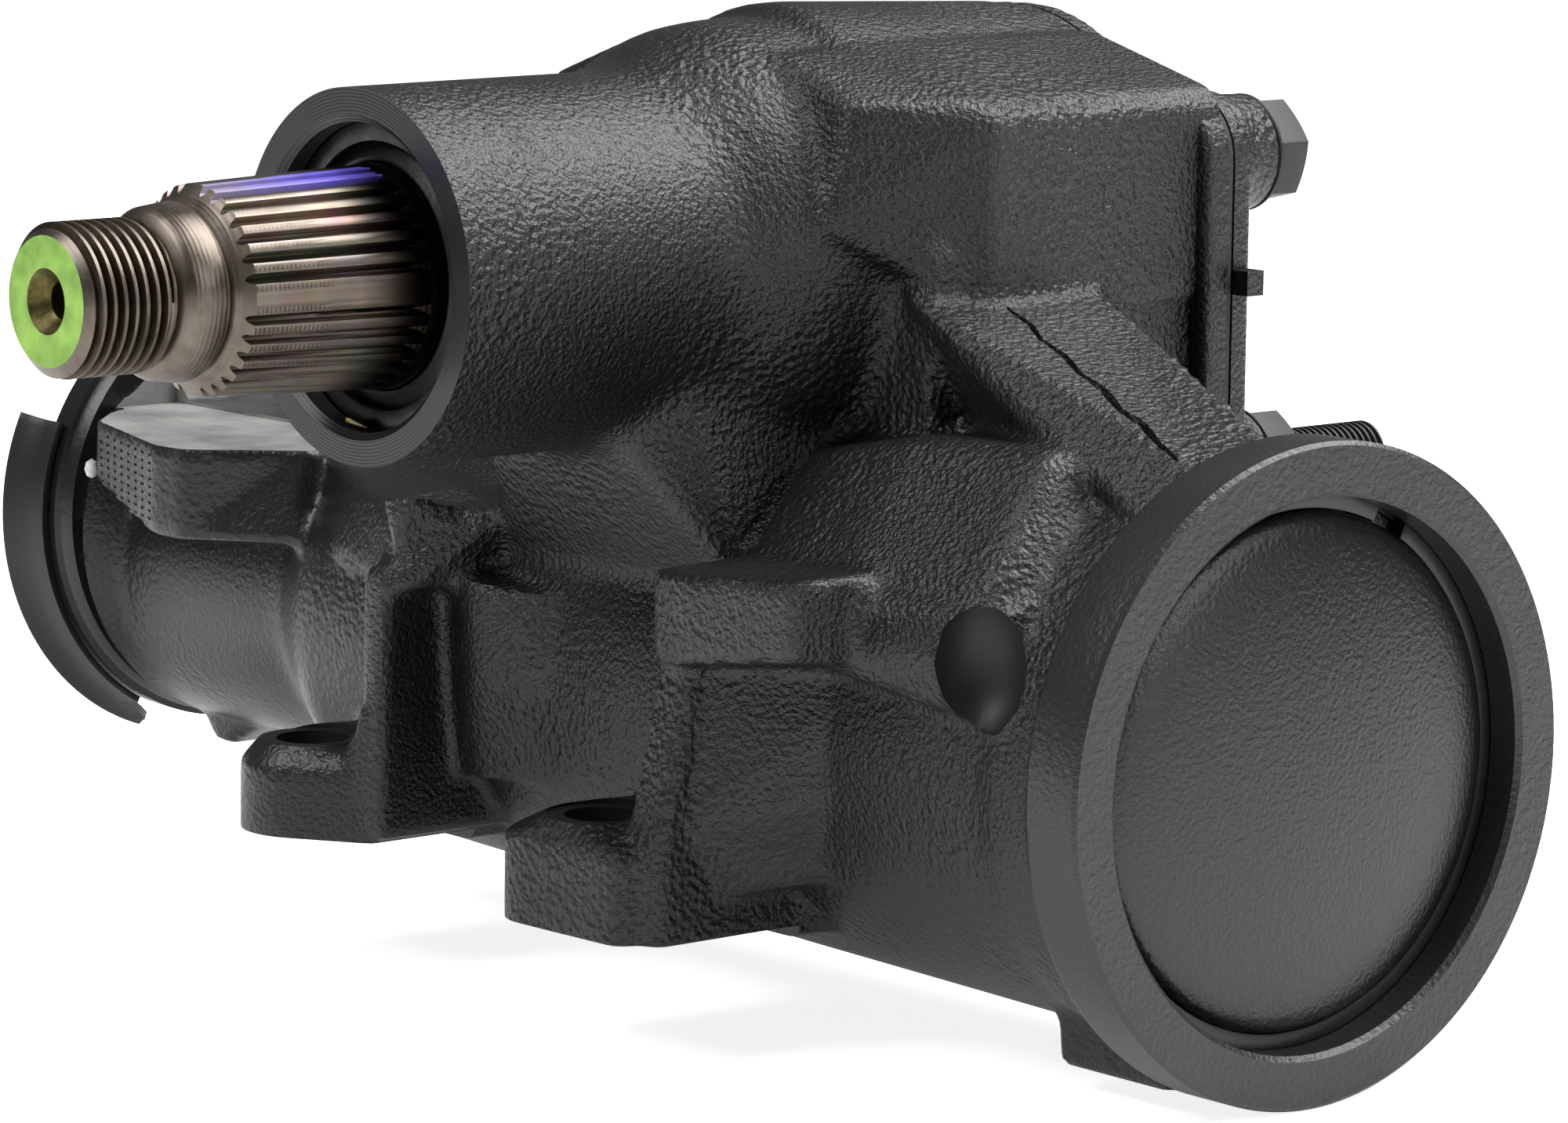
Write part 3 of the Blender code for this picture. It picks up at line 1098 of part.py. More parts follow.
def adjuster_plug():
    """Bearing adjuster plug screwed into the valve housing; it holds the stub's bearing and seals."""
    outer = PLUG_BORE_R - CLEAR
    low, high = PLUG_BEARING_X
    ring = PLUG_END_X + 2
    return tidy(solid("bearing_adjuster_plug", turned([
        (PLUG_END_X, SEAL_OUT_R + CLEAR), (PLUG_END_X, outer - 1), (PLUG_END_X + 1, outer),
        (PLUG_BORE_X - CLEAR, outer), (PLUG_BORE_X - CLEAR, VALVE_BORE_R - CLEAR),
        (PLUG_RIGHT_X, VALVE_BORE_R - CLEAR), (PLUG_RIGHT_X, STUB_R + 1), (high, STUB_R + 1),
        (high, NEEDLE_OUT_R + CLEAR), (low, NEEDLE_OUT_R + CLEAR), (low, STUB_R + 1.2),
        (PLUG_SEAL_X, STUB_R + 1.2), (PLUG_SEAL_X, SEAL_OUT_R + CLEAR), (ring + 1.8, SEAL_OUT_R + CLEAR),
        (ring + 1.8, SEAL_OUT_R + 1.4), (ring, SEAL_OUT_R + 1.4), (ring, SEAL_OUT_R + CLEAR)], "X", FINE)),
        PAINTED_STEEL)


NEEDLE_OUT_R = 13.0
SEAL_OUT_R = 16.0


def plug_nut():
    """Round lock nut of the adjuster plug, with spanner notches in its rim."""
    low = VALVE_END_X - CLEAR - PLUG_NUT_T
    made = solid("plug_lock_nut", tube("X", low, VALVE_END_X - CLEAR, PLUG_BORE_R, PLUG_NUT_R, ROUND))
    for notch in range(6):
        angle = TAU * (notch + 0.25) / 6
        points = []
        for x in (low - 1, VALVE_END_X):
            for reach in (PLUG_NUT_R - 2, PLUG_NUT_R + 2):
                for side in (-3, 3):
                    points.append((x, reach * math.cos(angle) - side * math.sin(angle),
                                   reach * math.sin(angle) + side * math.cos(angle)))
        cut(made, hull(points))
    return tidy(made, PAINTED_STEEL)


def coupling_shield():
    """Open plastic shield that hugs the rim and flares out round the input, with a bead along its edge."""
    bm = bmesh.new()
    steps = 16
    near = VALVE_END_X + SHIELD_OVERLAP
    inner = RIM_R + CLEAR
    section = [(0, 0), (0.4, 0), (1, SHIELD_FLARE - SHIELD_T), (1.05, SHIELD_FLARE), (1, SHIELD_FLARE + SHIELD_T),
               (0.9, SHIELD_FLARE + 0.2), (0.4, SHIELD_T), (0, SHIELD_T)]
    rings = []
    for step in range(steps + 1):
        ring = []
        for share, rise in section:
            start, end = (a + (b - a) * share for a, b in zip(SHIELD_IN, SHIELD_OUT))
            angle = start + (end - start) * step / steps
            reach = (inner + rise) / math.cos((end - start) / steps / 2)
            ring.append(bm.verts.new((near - SHIELD_REACH * share, -reach * math.sin(angle),
                                      RIM_RISE + reach * math.cos(angle))))
        rings.append(ring)
    count = len(section)
    for ring, following in zip(rings, rings[1:]):
        for i in range(count):
            after = (i + 1) % count
            bm.faces.new([ring[i], ring[after], following[after], following[i]])
    bm.faces.new(rings[0])
    bm.faces.new(rings[-1])
    return tidy(solid("coupling_shield", bm), NYLON)


def port_seat(name, x):
    low = PORT_SEAT_Z + CLEAR
    made = solid(name, turned([
        (low, PORT_DRILL_R - 0.5), (low, PORT_BORE_R - CLEAR), (low + PORT_SEAT_T - 2.5, PORT_BORE_R - CLEAR),
        (low + PORT_SEAT_T, PORT_DRILL_R + 1.2), (low + PORT_SEAT_T, PORT_DRILL_R - 0.5)],
        "Z", SMALL, at=(x, PORT_Y, 0)))
    return tidy(made, BRASS)


def seal_set():
    """Bearing, seals, washer and snap ring of the sector shaft, from the chamber outwards."""
    rise = SHAFT_RISE
    out = SEAL_BORE_R - CLEAR
    shaft = JOURNAL_R + 2 * CLEAR
    ring_y = BOSS_FACE_Y + SHAFT_RING_INSET + CLEAR
    seal_y = SEAL_BORE_Y - CLEAR - OIL_SEAL_T
    washer_y = seal_y - CLEAR - SEAL_WASHER_T
    return [
        ring_piece("sector_needle_bearing", "Y", SEAL_BORE_Y + CLEAR, BEARING_BORE_Y - CLEAR, shaft,
                   BEARING_BORE_R - CLEAR, BARE_STEEL, rise),
        ring_piece("sector_oil_seal", "Y", seal_y, seal_y + OIL_SEAL_T, shaft, out, RUBBER, rise),
        ring_piece("sector_seal_washer", "Y", washer_y, washer_y + SEAL_WASHER_T, shaft, out, BARE_STEEL, rise),
        ring_piece("sector_dust_seal", "Y", ring_y + SHAFT_RING_T + CLEAR, washer_y - CLEAR, shaft, out,
                   RUBBER, rise),
        snap_ring("sector_retaining_ring", "Y", ring_y, SHAFT_RING_T, SEAL_BORE_R - 3.2,
                  SEAL_BORE_R + SHAFT_RING_DEPTH - CLEAR, 7, SPRING_STEEL, math.radians(-60), rise)]


def stub_seal_set():
    shaft = STUB_R + CLEAR
    low, high = PLUG_BEARING_X
    ring = PLUG_END_X + 2
    return [
        ring_piece("stub_needle_bearing", "X", low + CLEAR, high - CLEAR, shaft, NEEDLE_OUT_R, BARE_STEEL),
        ring_piece("stub_oil_seal", "X", PLUG_SEAL_X - CLEAR - STUB_SEAL_T, PLUG_SEAL_X - CLEAR, shaft, SEAL_OUT_R,
                   RUBBER),
        ring_piece("stub_dust_seal", "X", ring + 1.8 + CLEAR, PLUG_SEAL_X - 2 * CLEAR - STUB_SEAL_T, shaft,
                   SEAL_OUT_R, RUBBER),
        snap_ring("stub_retaining_ring", "X", ring + CLEAR, 1.2, SEAL_OUT_R - 2.6, SEAL_OUT_R + 1.1, 5,
                  SPRING_STEEL, math.radians(70))]


def build():
    origin = frame("gearbox_origin", None, ORIGIN)
    sector_axis = frame("sector_axis", origin, (0, 0, SHAFT_RISE))
    piston_axis = frame("piston_axis", origin, (0, 0, 0))
    worm_axis = frame("worm_axis", origin, (0, 0, 0))
    stub_axis = frame("stub_axis", origin, (0, 0, 0))
    places = bolt_places()
    low = COUNTERBORE_X + CLEAR
    outer = COUNTERBORE_R - CLEAR
    put(origin, housing(), side_cover(), cover_gasket(),
        *[cover_bolt(i + 1, *places[i]) for i in range(3)], cover_stud(), cover_stud_nut(),
        adjuster_screw(), adjuster_nut(),
        ring_piece("cover_bush", "Y", COVER_HUB_Y + 0.5, TAIL_END_Y, BUSH_R,
                   BUSH_R + BUSH_WALL, BRASS, SHAFT_RISE),
        end_cover(),
        ring_piece("end_cover_o_ring", "X", low + 1.6 + CLEAR, low + 4.2 - CLEAR, outer - 2.2 + CLEAR,
                   outer, RUBBER, 0, ROUND),
        snap_ring("end_cover_retaining_ring", "X", SNAP_GROOVE_X + CLEAR, SNAP_RING_T, SNAP_RING_IN_R,
                  COUNTERBORE_R + SNAP_GROOVE_DEPTH - CLEAR, 6, SPRING_STEEL, math.radians(62), 0, ROUND),
        *seal_set(), adjuster_plug(), plug_nut(), *stub_seal_set(), coupling_shield(),
        port_seat("pressure_port_seat", PRESSURE_PORT_X), port_seat("return_port_seat", RETURN_PORT_X),
        ring_piece("worm_thrust_bearing", "X", BEARING_SHOULDER_X - CLEAR - THRUST_T,
                   BEARING_SHOULDER_X - CLEAR, WORM_R + CLEAR, WORM_FLANGE_R, GROUND_STEEL),
        ring_piece("plug_thrust_bearing", "X", PLUG_RIGHT_X + CLEAR, PLUG_RIGHT_X + CLEAR + THRUST_T,
                   STUB_R + 1.5, WORM_FLANGE_R, GROUND_STEEL))
    put(sector_axis, sector_shaft())
    put(piston_axis, rack_piston(), ball_guide(), guide_clamp(), clamp_screw(1, -SCREW_Y),
        clamp_screw(2, SCREW_Y), *[ball(i) for i in range(BALL_COUNT)],
        ring_piece("piston_seal_ring", "X", PISTON_RING_X, PISTON_RING_X + PISTON_RING_W,
                   PISTON_R - PISTON_RING_DEPTH + CLEAR, PISTON_R, TEFLON, 0, ROUND),
        tidy(solid("piston_end_plug", rod("X", PISTON_RIGHT - END_PLUG_LENGTH - 1.5, PISTON_RIGHT - 1.5,
                                          BALL_PITCH_R + 5.5 - CLEAR, FINE)), BARE_STEEL))
    put(worm_axis, worm_shaft(), valve_sleeve(),
        tidy(solid("sleeve_drive_pin", rod("X", SLEEVE_RIGHT_X - 3.5, FLANGE_LEFT_X + 2.5, 1.5, 8,
                                           at=(0, 0, PIN_Z))), GROUND_STEEL),
        *[ring_piece(f"sleeve_seal_ring_{i + 1}", "X", x - 1.1, x + 1.1, VALVE_BORE_R - CLEAR - 2 + CLEAR,
                     VALVE_BORE_R - CLEAR, TEFLON) for i, x in enumerate(seal_ring_places())])
    put(stub_axis, stub_shaft(), valve_spool(), torsion_bar(), torsion_bar_pin())


build()
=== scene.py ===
# %% [markdown]
# # A power steering gearbox
# A recirculating-ball gearbox is an iron casting full of turned and ground steel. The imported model
# gives every piece its size and place. This script dresses it: a cast skin with soft corners, crisp
# machined faces, real threads and serrations, and a finish for each surface.

# %% Load the frame
import json
import math

import bpy
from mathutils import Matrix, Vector


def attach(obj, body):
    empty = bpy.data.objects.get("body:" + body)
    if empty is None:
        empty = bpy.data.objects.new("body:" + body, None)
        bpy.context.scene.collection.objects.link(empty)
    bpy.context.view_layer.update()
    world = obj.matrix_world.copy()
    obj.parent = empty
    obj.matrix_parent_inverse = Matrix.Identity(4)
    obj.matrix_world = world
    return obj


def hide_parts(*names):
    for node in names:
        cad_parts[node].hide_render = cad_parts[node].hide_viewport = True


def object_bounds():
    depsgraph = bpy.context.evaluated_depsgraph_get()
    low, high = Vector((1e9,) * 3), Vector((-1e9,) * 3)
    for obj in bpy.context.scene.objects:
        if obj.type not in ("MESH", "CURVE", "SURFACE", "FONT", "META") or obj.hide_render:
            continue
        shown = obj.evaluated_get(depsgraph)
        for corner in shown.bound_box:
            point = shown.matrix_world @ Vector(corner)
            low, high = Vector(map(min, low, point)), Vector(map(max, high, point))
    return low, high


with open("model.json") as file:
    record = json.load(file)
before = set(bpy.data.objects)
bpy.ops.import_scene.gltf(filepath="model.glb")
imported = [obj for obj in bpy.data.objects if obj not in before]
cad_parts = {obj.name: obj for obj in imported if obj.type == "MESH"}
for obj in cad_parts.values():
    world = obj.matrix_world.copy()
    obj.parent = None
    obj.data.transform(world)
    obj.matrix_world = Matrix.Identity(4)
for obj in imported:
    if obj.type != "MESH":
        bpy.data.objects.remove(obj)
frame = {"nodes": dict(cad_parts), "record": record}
cad_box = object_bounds()
low_corner, high_corner = [Vector(corner) for corner in cad_box]
print("CAD box", [round(1000 * (high - low), 1) for low, high in zip(low_corner, high_corner)], "mm")

# %% [markdown]
# The drawing of the gearbox counts in millimetres from the piston's axis, under the sector shaft.
# The input shaft ends 189.2 mm to the left of that point, the sector shaft 139.9 mm in front of it, and
# the lowest point is the end cover ring, 48.1 mm below it. So the box of the model gives the shift.

# %% From the drawing to the scene
ORIGIN = low_corner + Vector((0.1892, 0.1399, 0.0481))
SHAFT_RISE = 66.3
SHAFT = (0, SHAFT_RISE)


def place(point):
    """A point of the drawing, in millimetres, as a place in the scene, in metres."""
    return ORIGIN + Vector(point) / 1000


print("origin", [round(c, 5) for c in ORIGIN])

# %% [markdown]
# The photograph was taken with a long lens from the front right, a little above the box. The camera
# was worked out from circles and edges of known size, and its small shift centres the picture.

# %% Camera
camera_data = bpy.data.cameras.new("camera")
camera = bpy.data.objects.new("camera", camera_data)
bpy.context.scene.collection.objects.link(camera)
camera_data.sensor_width = 36
camera_data.lens = 8293.4 / 2000 * 36
camera_data.shift_x = -3.9 / 2000
camera_data.shift_y = 9.9 / 2000
camera_data.clip_start = 0.05
camera_data.clip_end = 30
camera.location = place((754.14, -644.71, 170.63))
looking = Vector((-0.7528, 0.6399, -0.1544))
camera.rotation_euler = looking.to_track_quat("-Z", "Y").to_euler()
camera.rotation_euler.rotate_axis("Z", 0.01143)
bpy.context.scene.camera = camera
print("camera at", [round(c, 3) for c in camera.location])

# %% [markdown]
# A product photograph has a white sweep and big soft lamps. The sweep shows white to the camera, and
# takes the soft shadow of the box. A wide lamp above and behind draws the grey sheen on the upper
# faces, a small one lights the ring, and one high in front brings out the rib and the pads.

# %% Floor and lamps
bpy.ops.object.select_all(action="DESELECT")
bpy.ops.mesh.primitive_plane_add(size=8, location=(0, 0, low_corner.z - 0.0002))
floor = bpy.context.object
floor.name = "floor"


def lamp(name, watts, size, where, towards=(0, 0, 0.07)):
    """A square soft lamp that faces a point."""
    data = bpy.data.lights.new(name, "AREA")
    data.energy = watts
    data.size = size
    made = bpy.data.objects.new(name, data)
    bpy.context.scene.collection.objects.link(made)
    made.location = where
    made.rotation_euler = (Vector(towards) - Vector(where)).to_track_quat("-Z", "Y").to_euler()
    return made


lamp("top_lamp", 36, 1.2, (0.3, 0.72, 1.25))
lamp("ring_lamp", 5, 0.6, (1.3, 0.25, 0.6))
lamp("front_lamp", 15, 0.8, (-0.25, -0.95, 1.25))

# %% [markdown]
# A material here is named for what it is. One small function turns a colour as a painter writes it
# into the linear numbers that Blender counts with, and another adds a node with its settings, the
# stops of its ramp and its links, so that each finish reads as a list.

# %% Tools for finishes


def linear(colour):
    """The linear value of an sRGB hex colour."""
    parts = [int(colour[i:i + 2], 16) / 255 for i in (1, 3, 5)]
    return (*[c / 12.92 if c < 0.04045 else ((c + 0.055) / 1.055) ** 2.4 for c in parts], 1)


def add_node(material, kind, sockets, stops=(), into=None, **settings):
    """Add a node, set it up, link or fill its sockets, and link it into another one."""
    tree = material.node_tree
    made = tree.nodes.new("ShaderNode" + kind)
    for name, value in settings.items():
        setattr(made, name, value)
    for number, (position, colour) in enumerate(stops):
        made.color_ramp.elements[number].position = position
        made.color_ramp.elements[number].color = linear(colour)
    for socket, value in sockets.items():
        if isinstance(value, bpy.types.NodeSocket):
            tree.links.new(value, made.inputs[socket])
        else:
            made.inputs[socket].default_value = value
    if into:
        other, socket = into
        result = "Result" if kind == "Mix" else 0
        tree.links.new(made.outputs[result], other.inputs[socket])
    return made


def new_finish(name, roughness, metallic=0.0):
    """A material with its shader and the object coordinates that its patterns read."""
    material = bpy.data.materials.new(name)
    material.use_nodes = True
    shader = material.node_tree.nodes["Principled BSDF"]
    shader.inputs["Roughness"].default_value = roughness
    shader.inputs["Metallic"].default_value = metallic
    coordinates = add_node(material, "TexCoord", {}).outputs["Object"]
    return material, shader, coordinates


print("the mid grey #808080 is", round(linear("#808080")[0], 3), "in linear numbers")

# %% [markdown]
# The sweep is plain white. It glows white only for the camera and in mirror-like reflections, so it
# looks like a lit studio without sending light into the shadows.

# %% White sweep
sweep, sweep_shader, _ = new_finish("white_sweep", 0.9)
sweep_shader.inputs["Base Color"].default_value = linear("#f4f4f4")
ray = add_node(sweep, "LightPath", {})
seen = add_node(sweep, "Math", {0: ray.outputs["Is Camera Ray"], 1: ray.outputs["Is Glossy Ray"]},
                operation="MAXIMUM")
power = add_node(sweep, "MapRange", {"Value": ray.outputs["Is Camera Ray"], "To Min": 0.3, "To Max": 0.84})
glow = add_node(sweep, "Emission", {"Color": (1, 1, 1, 1), "Strength": power.outputs["Result"]})
lit = add_node(sweep, "AddShader", {0: sweep_shader.outputs[0], 1: glow.outputs[0]})
mixed = add_node(sweep, "MixShader", {0: seen.outputs[0], 1: sweep_shader.outputs[0], 2: lit.outputs[0]})
sweep.node_tree.links.new(mixed.outputs[0], sweep.node_tree.nodes["Material Output"].inputs["Surface"])
floor.data.materials.append(sweep)

world = bpy.data.worlds.new("studio")
world.use_nodes = True
bpy.context.scene.world = world
sky = world.node_tree.nodes["Background"]
sky.inputs["Color"].default_value = (1, 1, 1, 1)
seen = add_node(world, "LightPath", {}).outputs["Is Camera Ray"]
add_node(world, "MapRange", {"Value": seen, "To Min": 0.15, "To Max": 1.0}, into=(sky, "Strength"))
bpy.context.scene.view_settings.view_transform = "Standard"
print("world:", world.name)

# %% [markdown]
# Sand-cast iron under satin black paint. The sand leaves a pebbled skin with grains about 1 mm wide,
# and the paint rounds them off and pools in the hollows, which reads as an orange-peel sheen. A fine
# noise and rounded cells make the grain, and a broad noise its patches. The valve end, left of the
# ears, is cast smoother.

# %% Painted casting
painted_casting, shader, where = new_finish("satin_black_on_cast_iron", 0.36)
grain = add_node(painted_casting, "TexNoise", {"Vector": where, "Scale": 1300, "Detail": 3, "Roughness": 0.5})
pebbles = add_node(painted_casting, "TexVoronoi", {"Vector": where, "Scale": 800, "Smoothness": 0.6},
                   feature="SMOOTH_F1")
patches = add_node(painted_casting, "TexNoise", {"Vector": where, "Scale": 26, "Detail": 2}).outputs["Fac"]
along = add_node(painted_casting, "SeparateXYZ", {0: where})
coarse = add_node(painted_casting, "MapRange", {"Value": along.outputs["X"], "From Min": place((-75, 0, 0)).x,
                                               "From Max": place((-30, 0, 0)).x, "To Min": 0.3, "To Max": 1})
strength = add_node(painted_casting, "MapRange", {"Value": patches, "From Min": 0.42, "From Max": 0.64,
                                                 "To Min": 0.15, "To Max": 1.3})
local = add_node(painted_casting, "Math", {0: strength.outputs[0], 1: coarse.outputs[0]}, operation="MULTIPLY")
rough = add_node(painted_casting, "Math", {0: pebbles.outputs["Distance"], 1: local.outputs[0]},
                 operation="MULTIPLY")
fine = add_node(painted_casting, "Math", {0: grain.outputs["Fac"], 1: coarse.outputs[0]}, operation="MULTIPLY")
relief = add_node(painted_casting, "Math", {0: fine.outputs[0], 1: rough.outputs[0]}, operation="ADD")
add_node(painted_casting, "Bump", {"Height": relief.outputs[0], "Strength": 0.9, "Distance": 0.00052},
         into=(shader, "Normal"))
add_node(painted_casting, "ValToRGB", {"Fac": patches}, ((0.3, "#0b0c0d"), (0.75, "#1a1b1d")),
         (shader, "Base Color"))
add_node(painted_casting, "MapRange", {"Value": patches, "To Min": 0.24, "To Max": 0.43},
         into=(shader, "Roughness"))
print("casting finish:", len(painted_casting.node_tree.nodes), "nodes")

# %% [markdown]
# Faces that a machine cut before painting are smoother. They have a light orange peel of the paint,
# and the boss's face has the faint rings of the tool, 0.5 mm apart.

# %% Painted machined faces
painted_machined, shader, where = new_finish("satin_black_on_machined_iron", 0.36)
peel = add_node(painted_machined, "TexNoise", {"Vector": where, "Scale": 1100, "Detail": 3})
add_node(painted_machined, "Bump", {"Height": peel.outputs["Fac"], "Strength": 0.5, "Distance": 0.0004},
         into=(shader, "Normal"))
clouds = add_node(painted_machined, "TexNoise", {"Vector": where, "Scale": 60, "Detail": 2})
add_node(painted_machined, "ValToRGB", {"Fac": clouds.outputs["Fac"]}, ((0, "#191a1c"), (1, "#27282b")),
         (shader, "Base Color"))


def from_shaft_axis(material, where):
    """The way from the sector shaft's axis to a point of the surface."""
    return add_node(material, "VectorMath", {0: where, 1: place((0, 0, SHAFT_RISE)) * -1}, operation="ADD").outputs[0]


boss_face_finish, shader, where = new_finish("satin_black_on_turned_face", 0.38)
tool_rings = add_node(boss_face_finish, "TexWave", {"Vector": from_shaft_axis(boss_face_finish, where), "Scale": 620,
                                                    "Distortion": 0.8, "Detail": 2},
                      wave_type="RINGS", rings_direction="Y")
add_node(boss_face_finish, "Bump", {"Height": tool_rings.outputs["Fac"], "Strength": 0.09, "Distance": 0.0003},
         into=(shader, "Normal"))
clouds = add_node(boss_face_finish, "TexNoise", {"Vector": where, "Scale": 90, "Detail": 3})
add_node(boss_face_finish, "ValToRGB", {"Fac": clouds.outputs["Fac"]}, ((0, "#1b1c1e"), (1, "#2b2c2f")),
         (shader, "Base Color"))
print("machined finishes:", painted_machined.name, boss_face_finish.name)

# %% [markdown]
# Steel that was turned and hobbed, then stored under a film of oil: warm grey, with painted shade that
# darkens it the nearer it comes to the mouth of the boss. The serrations take painted shade between the
# teeth, so they darken towards the roots too, which lie 13.7 mm from the axis, and stay bright on the crests.

# %% Bare shaft steel


def shade_near_mouth(material, shader, where, colour, dark_y):
    """Let a colour of the shaft darken to painted shade from 97 mm in front of the axis to dark_y."""
    along = add_node(material, "SeparateXYZ", {0: where})
    mouth_shade = add_node(material, "MapRange", {"Value": along.outputs["Y"], "From Min": place((0, -97, 0)).y,
                                          "From Max": place((0, dark_y, 0)).y})
    # painted shade: the shaft's colour darkens to near black towards the boss's mouth
    add_node(material, "Mix", {"Factor": mouth_shade.outputs[0], "A": colour, "B": linear("#231f1a")},
             into=(shader, "Base Color"), data_type="RGBA")


shaft_steel, shader, where = new_finish("oiled_turned_steel", 0.3, 1.0)
blotches = add_node(shaft_steel, "TexNoise", {"Vector": where, "Scale": 160, "Detail": 4, "Roughness": 0.6})
tone = add_node(shaft_steel, "ValToRGB", {"Fac": blotches.outputs["Fac"]}, ((0.3, "#544c45"), (0.72, "#7a7168")))
shade_near_mouth(shaft_steel, shader, where, tone.outputs["Color"], -87)
turning = add_node(shaft_steel, "TexWave", {"Vector": where, "Scale": 420, "Distortion": 1.5, "Detail": 2},
                   bands_direction="Y")
add_node(shaft_steel, "Bump", {"Height": turning.outputs["Fac"], "Strength": 0.12, "Distance": 0.0002},
         into=(shader, "Normal"))
add_node(shaft_steel, "MapRange", {"Value": blotches.outputs["Fac"], "To Min": 0.28, "To Max": 0.5},
         into=(shader, "Roughness"))

# %% Serrated steel with painted shade in the roots
serrated_steel, shader, where = new_finish("oiled_hobbed_steel", 0.34, 1.0)
flat = add_node(serrated_steel, "VectorMath", {0: from_shaft_axis(serrated_steel, where), 1: (1, 0, 1)},
                operation="MULTIPLY")
radius = add_node(serrated_steel, "VectorMath", {0: flat.outputs[0]}, operation="LENGTH")
blotches = add_node(serrated_steel, "TexNoise", {"Vector": where, "Scale": 180, "Detail": 4})
# painted shade: the serrations darken towards their roots, 13.7 mm from the axis, and stay bright on the crests
depth = add_node(serrated_steel, "MapRange", {"Value": radius.outputs["Value"], "From Min": 0.0137,
                                              "From Max": 0.0150})
tone = add_node(serrated_steel, "ValToRGB", {"Fac": depth.outputs[0]}, ((0, "#3a332c"), (1, "#776e65")))
shade = add_node(serrated_steel, "Mix", {"Factor": 0.45, "A": tone.outputs["Color"], "B": blotches.outputs["Color"]},
                 data_type="RGBA", blend_type="SOFT_LIGHT")
shade_near_mouth(serrated_steel, shader, where, shade.outputs["Result"], -86)
print("steels:", shaft_steel.name, serrated_steel.name)

# %% [markdown]
# Marks from the factory: lime paint on the shaft's end, and a violet stripe along its top that shows
# which way it was timed. Both are thin brushed paint, glossier than the steel and uneven at the edge.

# %% Violet paint
violet_paint, shader, where = new_finish("brushed_violet_paint", 0.4)
wash = add_node(violet_paint, "TexNoise", {"Vector": where, "Scale": 300, "Detail": 4})
tone = add_node(violet_paint, "ValToRGB", {"Fac": wash.outputs["Fac"]}, ((0, "#4a3fa6"), (1, "#7a6fe0")))
along = add_node(violet_paint, "SeparateXYZ", {0: where})
wear = add_node(violet_paint, "MapRange", {"Value": along.outputs["Y"], "From Min": place((0, -114, 0)).y,
                                           "From Max": place((0, -96, 0)).y})
add_node(violet_paint, "Mix", {"Factor": wear.outputs[0], "A": linear("#8a8198"), "B": tone.outputs["Color"]},
         into=(shader, "Base Color"), data_type="RGBA")
print("paint:", violet_paint.name)

# %% [markdown]
# The rest are the plain finishes of a gearbox's inside and edge: ground steel, dark spring steel,
# brass seats, nitrile rubber, moulded nylon, gasket sheet and filled PTFE. Each gets a little wear.
# The lime paint, the painted highlight on the pad's top, the painted shade in the thread's grooves,
# grease, grime in the centre hole and the black paints of small parts are such too.

# %% Plain finishes


def plain_finish(name, dark, light, roughness, metallic, scale, relief, deep=0.0003, high=0.7, **noise):
    """A finish whose colour and relief wander between two values at one scale."""
    material, shader, where = new_finish(name, roughness, metallic)
    cloud = add_node(material, "TexNoise", {"Vector": where, "Scale": scale, "Detail": 4, **noise}).outputs["Fac"]
    add_node(material, "ValToRGB", {"Fac": cloud}, ((0.3, dark), (high, light)), (shader, "Base Color"))
    add_node(material, "Bump", {"Height": cloud, "Strength": relief, "Distance": deep}, into=(shader, "Normal"))
    return material


lime_paint = plain_finish("brushed_lime_paint", "#6f9c35", "#9ccb55", 0.42, 0.0, 260, 0.0)
# painted highlight: the long pad's machined top is given a light grey
pad_top_highlight = plain_finish("painted_highlight_on_pad_top", "#656463", "#92908e", 0.42, 0.0, 70, 0.3, 0.0005, 0.65,
                            Detail=5, Roughness=0.65)
ground_steel = plain_finish("ground_steel", "#9c9b97", "#b5b4b0", 0.2, 1.0, 500, 0.05)
bare_steel = plain_finish("turned_bare_steel", "#857e76", "#a39c94", 0.32, 1.0, 300, 0.1)
spring_steel = plain_finish("oil_black_spring_steel", "#2b2b2d", "#434345", 0.33, 1.0, 300, 0.1)
brass_finish = plain_finish("machined_brass", "#9c7c3f", "#bd9a58", 0.3, 1.0, 300, 0.06)
rubber_finish = plain_finish("nitrile_rubber", "#151515", "#222222", 0.45, 0.0, 900, 0.2)
nylon_finish = plain_finish("moulded_nylon", "#090909", "#101011", 0.45, 0.0, 800, 0.12)
gasket_finish = plain_finish("gasket_sheet", "#26241f", "#3a372f", 0.75, 0.0, 900, 0.3)
teflon_finish = plain_finish("filled_ptfe", "#5e4f3a", "#75654d", 0.5, 0.0, 400, 0.1)
grease_finish = plain_finish("yellow_bearing_grease", "#8f8455", "#b8ad7c", 0.35, 0.0, 500, 0.2)
dot_finish = plain_finish("white_marker_dot", "#c9c9c9", "#e2e2e2", 0.45, 0.0, 500, 0.1)
painted_steel = plain_finish("satin_black_on_steel", "#0d0e0f", "#17181a", 0.36, 0.0, 500, 0.12)
bolt_finish = plain_finish("thin_black_on_bolt_steel", "#0a0a0b", "#131314", 0.55, 0.0, 500, 0.12)
pressed_finish = plain_finish("satin_black_on_pressed_steel", "#0c0d0f", "#151618", 0.29, 0.0, 1300, 0.6)
rim_finish = plain_finish("gloss_black_on_turned_rim", "#0a0b0c", "#131415", 0.32, 0.0, 900, 0.2)
